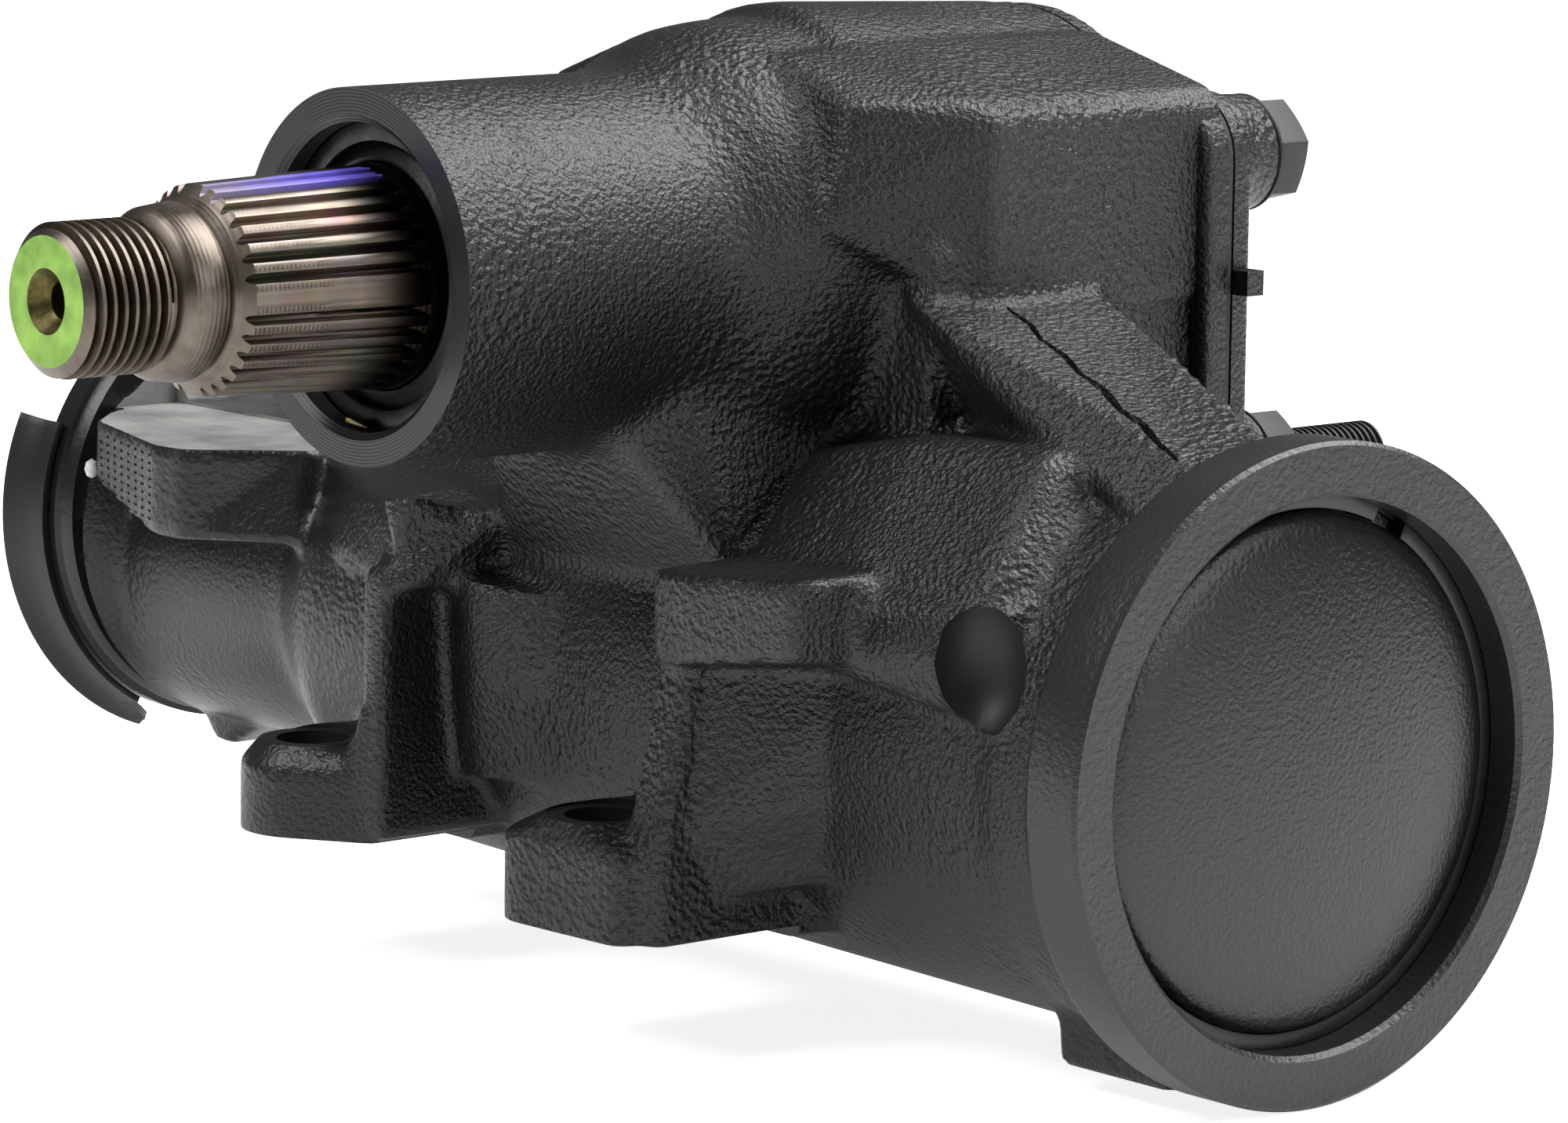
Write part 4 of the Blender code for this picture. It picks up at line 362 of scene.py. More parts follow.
# painted shade: the thread's grooves are a darker brown than the shaft's steel
thread_groove_shade = plain_finish("painted_shade_in_the_thread", "#372e26", "#50473c", 0.45, 1.0, 400, 0.15)
hole_grime = plain_finish("grime_in_the_centre_hole", "#4c4629", "#6d6540", 0.45, 1.0, 600, 0.5)
slot_finishes = {"painted_iron": painted_casting, "painted_steel": painted_steel, "bare_steel": bare_steel,
                 "ground_steel": ground_steel, "spring_steel": spring_steel, "brass": brass_finish,
                 "rubber": rubber_finish, "nylon": nylon_finish, "gasket": gasket_finish,
                 "teflon": teflon_finish}
slot_of = {part["node"]: part["material_slot"] for part in frame["record"]["subparts"]}
for node_name, node_object in frame["nodes"].items():
    for slot in node_object.material_slots:
        slot.material = slot_finishes[slot_of[node_name]]
    if not node_object.material_slots:
        node_object.data.materials.append(slot_finishes[slot_of[node_name]])
print(len(frame["nodes"]), "nodes have their finish")

# %% [markdown]
# Turned pieces are drawn as half a section and spun, as on a lathe. Plates are drawn as an outline
# and extruded. Lugs and ribs are drawn as corner points and wrapped in a hull. All three start from
# one vertex that is extruded from point to point.

# %% Drawing helpers


def select_only(*objects):
    bpy.ops.object.select_all(action="DESELECT")
    for one in objects:
        one.select_set(True)
    bpy.context.view_layer.objects.active = objects[0]


def trace(name, points, closed):
    """Draw a line through points of the drawing, starting from a plane shrunk to one vertex."""
    bpy.ops.object.select_all(action="DESELECT")
    bpy.ops.mesh.primitive_plane_add(size=0.002, location=place(points[0]))
    made = bpy.context.object
    made.name = name
    bpy.ops.object.mode_set(mode="EDIT")
    bpy.ops.mesh.select_all(action="SELECT")
    bpy.ops.mesh.merge(type="CENTER")
    here = place(points[0])
    for point in list(points[1:]) + (list(points[:1]) if closed else []):
        there = place(point)
        bpy.ops.mesh.extrude_region_move(TRANSFORM_OT_translate={"value": there - here})
        here = there
    bpy.ops.mesh.select_all(action="SELECT")
    if closed:
        bpy.ops.mesh.remove_doubles(threshold=1e-6)
    return made


def finish_mesh(made):
    """Merge doubles, turn the faces outwards and bring the object's own origin home."""
    bpy.ops.mesh.select_all(action="SELECT")
    bpy.ops.mesh.remove_doubles(threshold=1e-6)
    bpy.ops.mesh.normals_make_consistent(inside=False)
    bpy.ops.object.mode_set(mode="OBJECT")
    select_only(made)
    bpy.ops.object.transform_apply(location=True, rotation=True, scale=True)
    return made


def on_axis(axis, along, u, v):
    return {"X": (along, u, v), "Y": (u, along, v), "Z": (u, v, along)}[axis]


def lathe(name, section, axis, centre=(0, 0), steps=96, closed=False, start=0.0, sweep_angle=360.0):
    """Spin a section of (place along the axis, radius) round an axis through centre."""
    first = math.radians(start)
    points = [on_axis(axis, a, centre[0] + r * math.cos(first), centre[1] + r * math.sin(first))
              for a, r in section]
    made = trace(name, points, closed)
    direction = {"X": (1, 0, 0), "Y": (0, -1, 0), "Z": (0, 0, 1)}[axis]
    if sweep_angle < 360:
        bpy.ops.mesh.edge_face_add()
    bpy.ops.mesh.spin(steps=steps, angle=math.radians(sweep_angle), dupli=False,
                      center=place(on_axis(axis, 0, *centre)), axis=direction)
    return finish_mesh(made)


def plate(name, outline, axis, low, high):
    """Extrude a closed outline from low to high along an axis."""
    made = trace(name, [on_axis(axis, low, u, v) for u, v in outline], True)
    bpy.ops.mesh.edge_face_add()
    step = Vector(on_axis(axis, high - low, 0, 0)) / 1000
    bpy.ops.mesh.extrude_region_move(TRANSFORM_OT_translate={"value": step})
    return finish_mesh(made)


def lump(name, points):
    """Wrap corner points in their convex hull."""
    made = trace(name, points, False)
    bpy.ops.mesh.convex_hull()
    bpy.ops.mesh.select_all(action="SELECT")
    bpy.ops.mesh.delete_loose(use_verts=True, use_edges=True, use_faces=False)
    return finish_mesh(made)


def arc(u, v, radius, start, end, steps):
    angles = [math.radians(start + (end - start) * i / steps) for i in range(steps + 1)]
    return [(u + radius * math.cos(a), v + radius * math.sin(a)) for a in angles]


def mirrored(half):
    return half + [(-u, v) for u, v in reversed(half) if abs(u) > 1e-6]


# %% [markdown]
# Pieces are joined and cut with the Boolean modifier, which is applied at once. A casting is made
# from joined blocks: a voxel remesh welds them into one skin, and smoothing it afterwards rolls every
# corner over and fills every inner corner, as sand and iron do.

# %% Shaping helpers


def apply_modifier(target, kind, **settings):
    select_only(target)
    step = target.modifiers.new(kind.lower(), kind)
    for name, value in settings.items():
        setattr(step, name, value)
    bpy.ops.object.modifier_apply(modifier=step.name)


def shape(target, operation, *tools, solver="MANIFOLD"):
    """Join tools to a piece, cut them away or keep only what they share with it."""
    for tool in tools:
        apply_modifier(target, "BOOLEAN", operation=operation, object=tool, solver=solver,
                       material_mode="TRANSFER")
        bpy.data.objects.remove(tool)
    return target


def gather(name, *pieces):
    """Make loose blocks into one object, ready for a remesh."""
    select_only(*pieces)
    bpy.ops.object.join()
    pieces[0].name = name
    return pieces[0]


def round_edges(target, width_mm, sharp_angle, segments=2):
    apply_modifier(target, "BEVEL", width=width_mm / 1000, segments=segments, limit_method="ANGLE",
                   angle_limit=math.radians(sharp_angle))


def coated(piece, finish=painted_machined):
    """Give a tool or a block the finish that its faces bring to the piece."""
    piece.data.materials.append(finish)
    return piece


def cast_skin(target, voxel_mm, passes):
    apply_modifier(target, "REMESH", mode="VOXEL", voxel_size=voxel_mm / 1000)
    apply_modifier(target, "SMOOTH", factor=0.5, iterations=passes)
    return target


def dress(piece, finish, body, *nodes, slot=None, angle=32):
    """Give a piece its finish, its smooth shading, its body and the nodes that it stands for."""
    if not any(piece.data.materials):
        piece.data.materials.clear()
        piece.data.materials.append(finish)
    select_only(piece)
    bpy.ops.object.shade_smooth_by_angle(angle=math.radians(angle))
    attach(piece, body)
    if nodes:
        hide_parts(*nodes)
    return piece


# %% [markdown]
# ## The casting
# First the big forms: the piston cylinder with the valve housing on its left, the long boss of the
# sector shaft, the gear chamber and the wall between them. They are welded at a coarse voxel with
# many passes of smoothing, because these forms flow into each other over 8 to 10 mm.

# %% Main forms of the casting
VALVE_END_X = -157.0
RIM_RISE = 8.3
RING_FACE_X = 113.5
BOSS_FACE_Y = -86.6
JOINT_Y = 40.6
PORTS_X = (-105.2, -79.5)
PORTS_Y = 8
COVER_BOLTS = [(40, 80.6), (-40, 80.6), (-40, 32.1), (40, 32.1)]


def both(points):
    return points + [(-x, y, z) for x, y, z in points]


def chamber_blocks(inset):
    """The block round the gear chamber: wide under the crown, narrower behind the rib."""
    wide, high, front = 47.8 - inset, 91.5 - inset, inset - 27
    upper = [(wide, y, z) for y in (46, -5) for z in (60, high - 3)]
    upper += [(wide - 2.8, y, high) for y in (46, -5)] + [(19.5, y, 98.2 - inset) for y in (46, -5)]
    upper += [(35 - inset, front, 73), (35 - inset, front + 5, 91 - inset), (18, front + 5, 97 - inset),
              (30, front + 8, 66)]
    lower = [(46.5 - inset, y, z) for y in (46, -1) for z in (8, 64)]
    lower += [(44.6 - inset, -14.2, 16), (44.6 - inset, -14.2, 70)]
    return [lump("chamber_upper", both(upper)), lump("chamber_lower", both(lower))]


cylinder = lathe("cylinder", [(-155, 0), (-155, 28.3), (-100, 28.3), (-97, 29.2), (-85, 36.2), (-80, 37.9),
                              (-68, 38.6), (18, 40.6), (88, 41.9), (90, 43.4), (104, 44.2), (104, 0)], "X")
boss = lathe("boss", [(-92, 0), (-92, 27.7), (-41, 28), (-37.5, 28.5), (-34.5, 29.8), (-31.5, 31.6), (-28, 33.2),
                      (-24, 34.3), (-16, 35), (20, 35.2), (20, 0)], "Y", SHAFT)
neck = lump("neck", both([(13, -54, 47), (23, -42, 50), (24, -14, 52), (29, -37, 20), (33, -16, 14)]))
bulge = lump("bulge", [(31, -27, 40), (56, -27, 45), (84, -26, 45.5), (28, -5, 40), (58, -4, 44), (88, -4, 44),
                       (28, 2, 34), (90, 2, 34), (33, -41, 25), (60, -43.5, 27), (89, -41.5, 27), (33, -39, 13),
                       (60, -41, 13), (89, -40, 13)])
core = gather("casting", cylinder, boss, neck, bulge, *chamber_blocks(1.2))
cast_skin(core, 1.6, 11)
print("main forms:", len(core.data.polygons), "faces")

# %% [markdown]
# Then what the moulder set on them: two mounting ears on their webs, the long pad over the valve
# side, the short pad with its ridge, the thick rib to the ring and the small lugs underneath.

# %% Outline of the side cover joint


def cover_outline(grow=0.0):
    corner = 10.1 + grow
    half = [(0, SHAFT_RISE + 35.4 + grow)]
    half += arc(*SHAFT, 35.4 + grow, 82, 62, 6)
    half += [(28, 91.8 + grow), (32, 90.7 + grow)]
    half += arc(40, 80.6, corner, 90, 0, 10)
    half += arc(40, 32.1, corner, 0, -50, 7)
    half += [(28, 16 - grow)]
    return mirrored(half)


def opening_outline():
    """The hole that the sector is put in through, in the casting and in the gasket."""
    return mirrored([(0, 99.3)] + arc(*SHAFT, 33, 80, -37, 10) + arc(*SHAFT, 43.5, -52.8, -90, 6))


# %% Ears, webs and pads
EAR1 = (-58.0, -51.5)
EAR2 = (18.5, -54.5)


def ear(name, centre, outline, bottom):
    slab = [(u, v, z) for u, v in outline for z in (bottom - 2, -16.8)]
    seat = [(u, v, -12.8) for u, v in arc(*centre, 8, 0, 345, 15)]
    return lump(name, slab + seat + [(centre[0] + 6, -34, -12.8), (centre[0] - 4, -34, -12.8)])


def web(name, right, thick, bottom, top, foot_y):
    return lump(name, [(x, y, z) for x in (right - thick, right)
                       for y, z in ((-53, top), (-22, top), (-22, bottom), (foot_y, bottom),
                                    (foot_y, -16.8), (-54, -6.8))])


def fillet(name, x, top, front):
    """Two thin wedges that round the inner corner between an ear's top and its web."""
    outer = lump(name, [(x + dx, y, z) for y in (front, -26) for dx, z in ((1, top + 7.5), (-1.5, top + 2.8),
                                                                          (1, top - 2))])
    inner = lump(name, [(x + dx, y, z) for y in (front, -26) for dx, z in ((-0.5, top + 3.6), (-6.5, top - 0.6),
                                                                          (1, top - 3))])
    return [outer, inner]


ear_one = ear("ear_one", EAR1, arc(*EAR1, 11.4, 160, 310, 16) + [(-41, -54), (-41, -22), (-66, -22)], -27.6)
ear_two = ear("ear_two", EAR2, arc(11.2, -56.6, 8.4, 180, 270, 8) + [(33, -64.2), (34.6, -62), (40, -20), (5, -20)],
              -29.8)
web_one = web("web_one", -37, 5.6, -26.8, 16, -54)
web_two = web("web_two", 38, 8, -31.8, 13, -60)
fillets = fillet("fillet", -42.6, -14.5, -55) + fillet("fillet", 30, -14.5, -57)
left = -148.5
pad_one = lump("pad_one", [(x, y, 27.4) for x, y in ((-106.5, -48.2), (-99.5, -47.6), (-136, -39), (-144.5, -30.5),
                                                     (left, -23), (left, 6), (-86, 6), (-86, -32))]
               + [(x, y, 12) for x, y in ((-106.5, -48.2), (-99.5, -47.6), (-84, -36), (-84, 0), (-118, 0))]
               + [(-137, -38.5, 16.7), (left, -20, 19), (left, 0, 19)])
pad_tail = lump("pad_tail", [(-89, -27, 26.6), (-89, -29, 12.4), (-70, -38, 12.4), (-70, -34, 25.5),
                             (-42.9, -50, 12.4), (-42.9, -48, 22), (-35, -51.6, 12.4), (-37, -49, 24),
                             (-25, -38, 25.5), (-89, -5, 26.6), (-25, -10, 25.5), (-89, -5, 12.4),
                             (-25, -10, 12.4)])
spur = lump("spur", [(-41, -51, 27), (-34, -50.5, 27.5), (-37, -52, 22), (-38, -50, 15), (-31.5, -44, 22.5),
                     (-31, -37, 14.2), (-38, -36, 11), (-29, -36, 24), (-40, -36, 28)])
gusset = lump("web_gusset", [(-38, -41.5, 15), (-28, -44, 14), (-38, -41, 0), (-27, -43.5, 0), (-37, -39.5, -17),
                             (-30.5, -39.6, -17.5), (-38, -30, 16), (-8, -36.3, 13), (-6, -38.2, 0),
                             (-10, -35.3, -16), (-38, -30, -18)])
flow = lump("web_flow", [(37, -51, 12.5), (37, -55, -14), (37, -50, -24), (37, -34, 12.5), (37, -30, -24),
                         (58, -36.6, 10), (57, -37, -6), (52, -31, -20)])
pad_two = lump("pad_two", [(29.8, -54.6, 11.6), (29.8, -54.6, 24.4), (38, -57.2, 11.6), (38, -57.2, 25),
                           (64.5, -57.2, 15.5), (64.5, -57.2, 27), (66, -50, 27), (66, -50, 15), (30, -20, 26),
                           (66, -20, 28), (30, -20, 11.6), (66, -20, 12)])
ridge = lump("ridge", [(60, -46.5, 12.5), (60, -47.5, 21), (60, -45, 25.5), (60, -20, 31), (60, -20, 8),
                       (92, -43.5, 8.5), (92, -46, 16), (92, -44, 24), (92, -20, 31), (92, -20, 6)])
rib = lump("rib", [(44, -1, 61.4), (44, 18, 63.4), (104, -2, 47.4), (104, -17, 44.6), (36.5, -11, 64),
                   (40.5, -16, 63), (80, -21.5, 43.5), (104, -25, 36), (44, -2, 34), (44, 18, 34), (104, -2, 34),
                   (104, -20, 34), (80, -10, 34)])
foot = lump("foot", [(x, y, z) for x in (81, 103) for y, z in ((-22, -30), (-20, -44.5), (-9, -46.5), (-7, -30))])
runner = lump("runner", [(x, y, z) for y in (-9, 5) for x, z in ((-148.5, -15), (-147.5, -29), (-145, -31.4),
                                                                 (-141, -31.8), (-130, -26), (-130, -15))])
lead = lump("lead", [(-150.5, y, z) for y, z in arc(0, RIM_RISE, 35.9, 0, 355, 71)]
            + [(-144.5, y, z) for y, z in arc(0, 0, 27.8, 0, 355, 71)])
crown = lathe("crown", [(-10, 0), (-10, 35.8), (-8.6, 36.8), (-4, 37), (38, 35.6), (38, 0)], "Y", SHAFT,
              128)
ports = [lathe("port", [(10, 0), (10, 12), (44, 12), (44, 0)], "Z", (x, PORTS_Y), 64) for x in PORTS_X]
casting = gather("housing_casting", core, *chamber_blocks(0), crown, ear_one, ear_two, web_one, web_two, *fillets,
                 pad_one, pad_tail, spur, gusset, flow, pad_two, ridge, rib, foot, runner, lead, *ports)
cast_skin(casting, 1.15, 3)
print("cast skin:", len(casting.data.polygons), "faces")

# %% [markdown]
# Now the machine shop. Faces are cut flat and bores are cut round with tools that are themselves
# spun or extruded, so every machined edge is crisp against the soft cast skin. A tool carries the
# smoother finish, and the faces that it leaves take that finish over.

# %% Machined faces and bores
coated(coated(casting, painted_casting))


main_bore = lathe("main_bore", [
    (-175, 0), (-175, 60), (VALVE_END_X, 60), (VALVE_END_X, 25), (-156.2, 24.2), (-118.2, 24.2), (-118.2, 22.3),
    (-66, 22.3),
    (-66, 16), (-62, 16), (-62, 35.5), (99.3, 35.5), (99.3, 40.1), (105.2, 40.1), (105.2, 42.1),
    (107.9, 42.1), (107.9, 40.1), (112.7, 40.1), (RING_FACE_X, 40.9), (RING_FACE_X, 60), (125, 60),
    (125, 0)], "X")
boss_bore = lathe("boss_bore", [
    (-100, 0), (-100, 40), (BOSS_FACE_Y, 40), (BOSS_FACE_Y, 23.7), (-85.6, 22.6), (-82.6, 22.6), (-82.6, 23.8),
    (-80.4, 23.8), (-80.4, 22.6), (-66, 22.6), (-66, 21.3), (-44, 21.3), (-44, 17.2), (-12, 17.2),
    (-12, 32), (50, 32), (50, 0)], "Y", SHAFT)
half = [(0, 74.3), (40.6, 74.3)] + arc(*SHAFT, 43, -19.4, -90, 14)
sweep_room = plate("sweep_room", mirrored(half), "Y", -12.4, 17.5)
opening = plate("opening", opening_outline(), "Y", 16, 52)
ring = lathe("ring", [(98, 36), (98, 43.6), (101.6, 44.4), (102.4, 46.6), (103.2, 47.8), (104.2, 48.1),
                      (112.9, 48.1), (113.5, 47.5), (113.5, 36)], "X", closed=True, steps=160)
rim = lathe("rim", [(-158, 23), (-158, 34), (VALVE_END_X, 36.2), (-156.2, 37), (-151.4, 37.1), (-150.9, 36.3),
                    (-149.9, 36.1), (-148.6, 35.4), (-148.6, 23)], "X", (0, RIM_RISE), closed=True, steps=160)
flange = plate("flange", cover_outline(), "Y", 36.2, 46)
round_edges(flange, 1.3, 50, 3)
shape(casting, "UNION", coated(ring), coated(rim, rim_finish), coated(flange, painted_casting))
shape(casting, "DIFFERENCE", coated(main_bore), coated(boss_bore, boss_face_finish), coated(sweep_room),
      coated(opening))
pad_face = lump("pad_face", [(x, y, z) for x, y in ((-148.4, -60), (-84, -60), (-84, -14), (-148.4, -14))
                             for z in (26.9, 40)])
# the pad's top takes the light grey of a painted highlight
shape(casting, "DIFFERENCE", coated(pad_face, pad_top_highlight))
joint_face = lump("joint_face", [(x, y, z) for x in (-60, 60) for y in (JOINT_Y, 60) for z in (5, 120)])
ear_faces = [lump(f"ear_face_{i}", [(x + dx, -80 if dy < 0 else -33, z) for dx in (-22, 26) for dy in (-1, 1)
                                    for z in (bottom - 8, bottom)])
             for i, (x, bottom) in enumerate(((-58, -27.6), (18.5, -29.8)))]
shape(casting, "DIFFERENCE", coated(joint_face), *[coated(face) for face in ear_faces])
print("after facing:", len(casting.data.polygons), "faces")

# %% [markdown]
# Three marks of the foundry are cut into the skin: a grid of shallow dimples on the long pad's front
# face, where the pattern was knurled, a pocket at the end of the ridge, whose faces are painted darker
# as painted shade, and a flow crack that runs down the crest of the rib.

# %% Dimples, pocket and flow crack
corner = Vector((-137, -37.9, 14.7))
across = Vector((29, -9.4, 0)) / 8
outwards = Vector((-0.3, -0.95, 0))
mouth = [corner + across * (0.37 * math.cos(a)) + Vector((0, 0, 0.5 * math.sin(a))) + outwards * 1.4
         for a in (0.5, 1.57, 2.64, 3.64, 4.71, 5.78)]
dimples = [lump("dimple", [tuple(q) for q in mouth] + [tuple(corner - outwards * 0.9)])]
for column in range(9):
    for row in range(8 if column < 2 else 9):
        if column or row:
            again = dimples[0].copy()
            again.data = dimples[0].data.copy()
            bpy.context.collection.objects.link(again)
            again.location = (across * column + Vector((0, 0, 1.3 * row))) / 1000
            dimples.append(again)
dimple_tool = gather("dimples", *dimples)
bpy.ops.object.transform_apply(location=True, rotation=True, scale=True)
crest = [(49, -3.4, 59.4, 0.4), (55, -4.2, 58.2, 0.9), (60, -6.6, 56, 0.6), (66, -7.4, 55, 1.1),
         (72, -9.8, 52.6, 0.7), (78, -10.6, 51.6, 1.5), (84, -13.2, 49, 0.9), (89, -13.6, 48.2, 1.5),
         (95, -16, 45.8, 0.8), (100, -17, 44.8, 0.5)]
cracks = [lump("crack", [(x, y + side * wide, z + 3) for x, y, z, wide in pair for side in (-1, 1)]
               + [(x, y, z - 1.9) for x, y, z, wide in pair]) for pair in zip(crest, crest[1:])]
pocket = lathe("pocket", [(6.5, 0), (8, 3.6), (12, 6.6), (17, 7.3), (22, 6.6), (25.5, 3.6), (27, 0)], "Z",
               (89.5, -45), 48)
# painted shade: the pocket's faces take the darker, rougher bolt finish
shape(casting, "DIFFERENCE", coated(dimple_tool, painted_casting), coated(pocket, bolt_finish),
      *[coated(crack, painted_casting) for crack in cracks])
print("after marks:", len(casting.data.polygons), "faces")

# %% [markdown]
# The ears are drilled and their seats are faced with a cutter a little larger than the bolt's head.
# The ports are bored for their seats, and the cover's corners are drilled for its bolts.

# %% Drilled holes


def drill(name, low, high, radius, axis, centre, steps=40):
    return coated(lathe(name, [(low, 0), (low, radius), (high, radius), (high, 0)], axis, centre, steps))


holes = [drill("ear_hole_1", -40, 0, 5.8, "Z", EAR1), drill("ear_hole_2", -40, 0, 5.8, "Z", EAR2),
         drill("ear_seat_1", -13.6, -8, 8.6, "Z", EAR1), drill("ear_seat_2", -13.6, -8, 8.6, "Z", EAR2)]
for x, z in COVER_BOLTS:
    holes.append(drill("bolt_hole", 26.6, 50, 5.1, "Y", (x, z), 32))
for x in PORTS_X:
    holes.append(coated(lathe("port_bore", [(14.3, 0), (14.3, 3.5), (27, 3.5), (27, 8.2), (41, 8.2), (42, 9.2),
                                            (42, 20), (50, 20), (50, 0)], "Z", (x, PORTS_Y), 48)))
shape(casting, "DIFFERENCE", *holes)
dress(casting, painted_casting, "housing_body", "housing", slot="painted_iron", angle=40)
print("casting:", sum(len(p.vertices) - 2 for p in casting.data.polygons), "triangles")

# %% [markdown]
# ## Side cover
# The cover is a casting too: a plate with the outline of the joint, a round hub over the shaft and a
# thick boss at each bolt. It is machined on its inner side.

# %% Side cover
cover_blocks = [plate("cover_plate", cover_outline(-0.2), "Y", 38, 45.9)]
for x, z in COVER_BOLTS:
    cover_blocks.append(lathe("corner_boss", [(38, 0), (38, 9.4), (47, 9.2), (54, 8.9), (54, 0)], "Y", (x, z), 48))
cover_blocks.append(lathe("cover_dome", [(38, 0), (38, 30), (44.7, 28), (49.5, 25), (51.2, 20), (51.5, 12),
                                         (57.6, 11), (57.6, 0)], "Y", SHAFT))
cover = gather("side_cover_casting", *cover_blocks)
cast_skin(cover, 0.8, 6)
coated(coated(cover, painted_casting))
tab = lump("cover_tab", [(x, y, z) for x in (44, 53.1) for y in (42, 45.4) for z in (60.2, 64)])
hub = lathe("cover_hub", [(18, 0), (18, 24.4), (18.6, 25), (42.5, 27), (42.5, 0)], "Y", SHAFT)
inner_face = coated(lump("inner_face", [(x, y, z) for x in (-60, 60) for y in (30, 42) for z in (5, 120)]))
shape(cover, "DIFFERENCE", inner_face)
shape(cover, "UNION", coated(tab, painted_casting), coated(hub))
cover_bore = coated(lathe("cover_bore", [(17, 0), (17, 18.8), (39.5, 18.8), (39.5, 5.3), (60, 5.3), (60, 0)],
                          "Y", SHAFT, 64))
shape(cover, "DIFFERENCE", cover_bore)
for x, z in COVER_BOLTS:
    shape(cover, "DIFFERENCE", drill("cover_hole", 40, 60, 5.4, "Y", (x, z), 32))
    shape(cover, "DIFFERENCE", drill("cover_seat", 52, 60, 12, "Y", (x, z), 48))
dress(cover, painted_casting, "housing_body", "side_cover", slot="painted_iron", angle=40)
gasket = plate("gasket_sheet", cover_outline(-0.35), "Y", 40.9, 41.7)
shape(gasket, "DIFFERENCE", plate("gasket_hole", opening_outline(), "Y", 39, 44))
dress(gasket, gasket_finish, "housing_body", "side_cover_gasket", slot="gasket")
print("side cover:", len(cover.data.polygons), "faces")

# %% [markdown]
# ## Hexagon heads and nuts
# A flange bolt's head is a hexagonal bar whose corners are turned off at 30 degrees, on a thin conical
# flange. The bar is a six-sided cylinder, and a spun chamfer tool keeps only what lies inside it.

# %% Cover bolts, stud and nuts


def hex_head(name, low, high, across, centre, turn=0.0):
    """A hexagonal bar along Y with its outer corners turned off."""
    bpy.ops.object.select_all(action="DESELECT")
    middle = place((centre[0], (low + high) / 2, centre[1]))
    bpy.ops.mesh.primitive_cylinder_add(vertices=6, radius=across / 2000 / math.cos(math.radians(30)),
                                        depth=(high - low) / 1000, location=middle,
                                        rotation=(math.radians(90), math.radians(turn), 0))
    bar = bpy.context.object
    bar.name = name
    bpy.ops.object.transform_apply(location=True, rotation=True, scale=True)
    corner = across / 2 / math.cos(math.radians(30))
    turned_off = lathe("chamfer", [(low - 1, 0), (low - 1, corner + 1), (high - 1.1, corner + 1),
                                   (high - 0.7, corner - 0.2), (high, across / 2 - 0.7), (high, 0)],
                       "Y", centre, 48)
    shape(bar, "INTERSECT", turned_off)
    round_edges(bar, 0.25, 40)
    return bar


HEAD_FLANGE = [(52.3, 8.6), (52.6, 9), (53, 9), (54.2, 7.6), (54.6, 0)]
for number, (x, z) in enumerate(COVER_BOLTS[:3], 1):
    bolt = hex_head(f"flange_bolt_{number}", 53, 60, 14.5, (x, z), turn=17 * number)
    shank = lathe("shank", [(27.6, 0), (27.6, 4.8), (52.3, 4.8), *HEAD_FLANGE], "Y", (x, z), 64)
    shape(bolt, "UNION", shank)
    dress(bolt, bolt_finish, "housing_body", f"cover_bolt_{number}", slot="painted_steel", angle=30)

stud_x, stud_z = COVER_BOLTS[3]
nut = hex_head("stud_flange_nut", 53, 61, 14.5, (stud_x, stud_z), turn=11)
nut_flange = lathe("nut_flange", [(52.3, 0), *HEAD_FLANGE], "Y", (stud_x, stud_z), 64)
shape(nut, "UNION", nut_flange)
shape(nut, "DIFFERENCE", lathe("nut_bore", [(50, 0), (50, 5.1), (63, 5.1), (63, 0)], "Y", (stud_x, stud_z), 48))
dress(nut, bolt_finish, "housing_body", "cover_stud_nut", slot="painted_steel", angle=30)

# %% [markdown]
# ## Threads
# A real thread is one groove that climbs. The groove's section is drawn once, and the Screw modifier
# turns it round the axis while it climbs by one pitch for each turn. Its two open ends are filled, and
# the coil is then cut from the plain bar, which leaves flat crests, as a die does.

# %% Thread helper


def cut_thread(bar, low, high, outer, pitch, axis, centre=(0, 0), steps=48, finish=None):
    """Cut an outer thread into a bar from low to high."""
    depth = 0.6 * pitch
    turns = round((high - low) / pitch)
    groove = [(-0.42, outer + 0.3), (0.42, outer + 0.3), (0.09, outer - depth), (-0.09, outer - depth)]
    points = [on_axis(axis, low + share * pitch, centre[0] + r, centre[1]) for share, r in groove]
    coil = trace("coil", points, True)
    bpy.ops.object.mode_set(mode="OBJECT")
    bpy.context.scene.cursor.location = place(on_axis(axis, 0, *centre))
    select_only(coil)
    bpy.ops.object.origin_set(type="ORIGIN_CURSOR")
    apply_modifier(coil, "SCREW", axis=axis, screw_offset=pitch / 1000, iterations=turns, steps=steps,
                   render_steps=steps)
    bpy.ops.object.mode_set(mode="EDIT")
    bpy.ops.mesh.select_all(action="DESELECT")
    bpy.ops.mesh.select_non_manifold(extend=False)
    bpy.ops.mesh.edge_face_add()
    finish_mesh(coil)
    if finish:
        coated(coil, finish)
    print("coil faces:", len(coil.data.polygons))
    return shape(bar, "DIFFERENCE", coil, solver="EXACT")


stud = lathe("cover_stud_bar", [(27.6, 0), (27.6, 4.8), (80.9, 4.8), (81.9, 3.9), (81.9, 0)], "Y",
             (stud_x, stud_z), 64)
cut_thread(stud, 61.5, 83.5, 4.8, 1.25, "Y", (stud_x, stud_z), 32)
dress(stud, bolt_finish, "housing_body", "cover_stud", slot="painted_steel", angle=30)
print("stud:", len(stud.data.polygons), "faces")

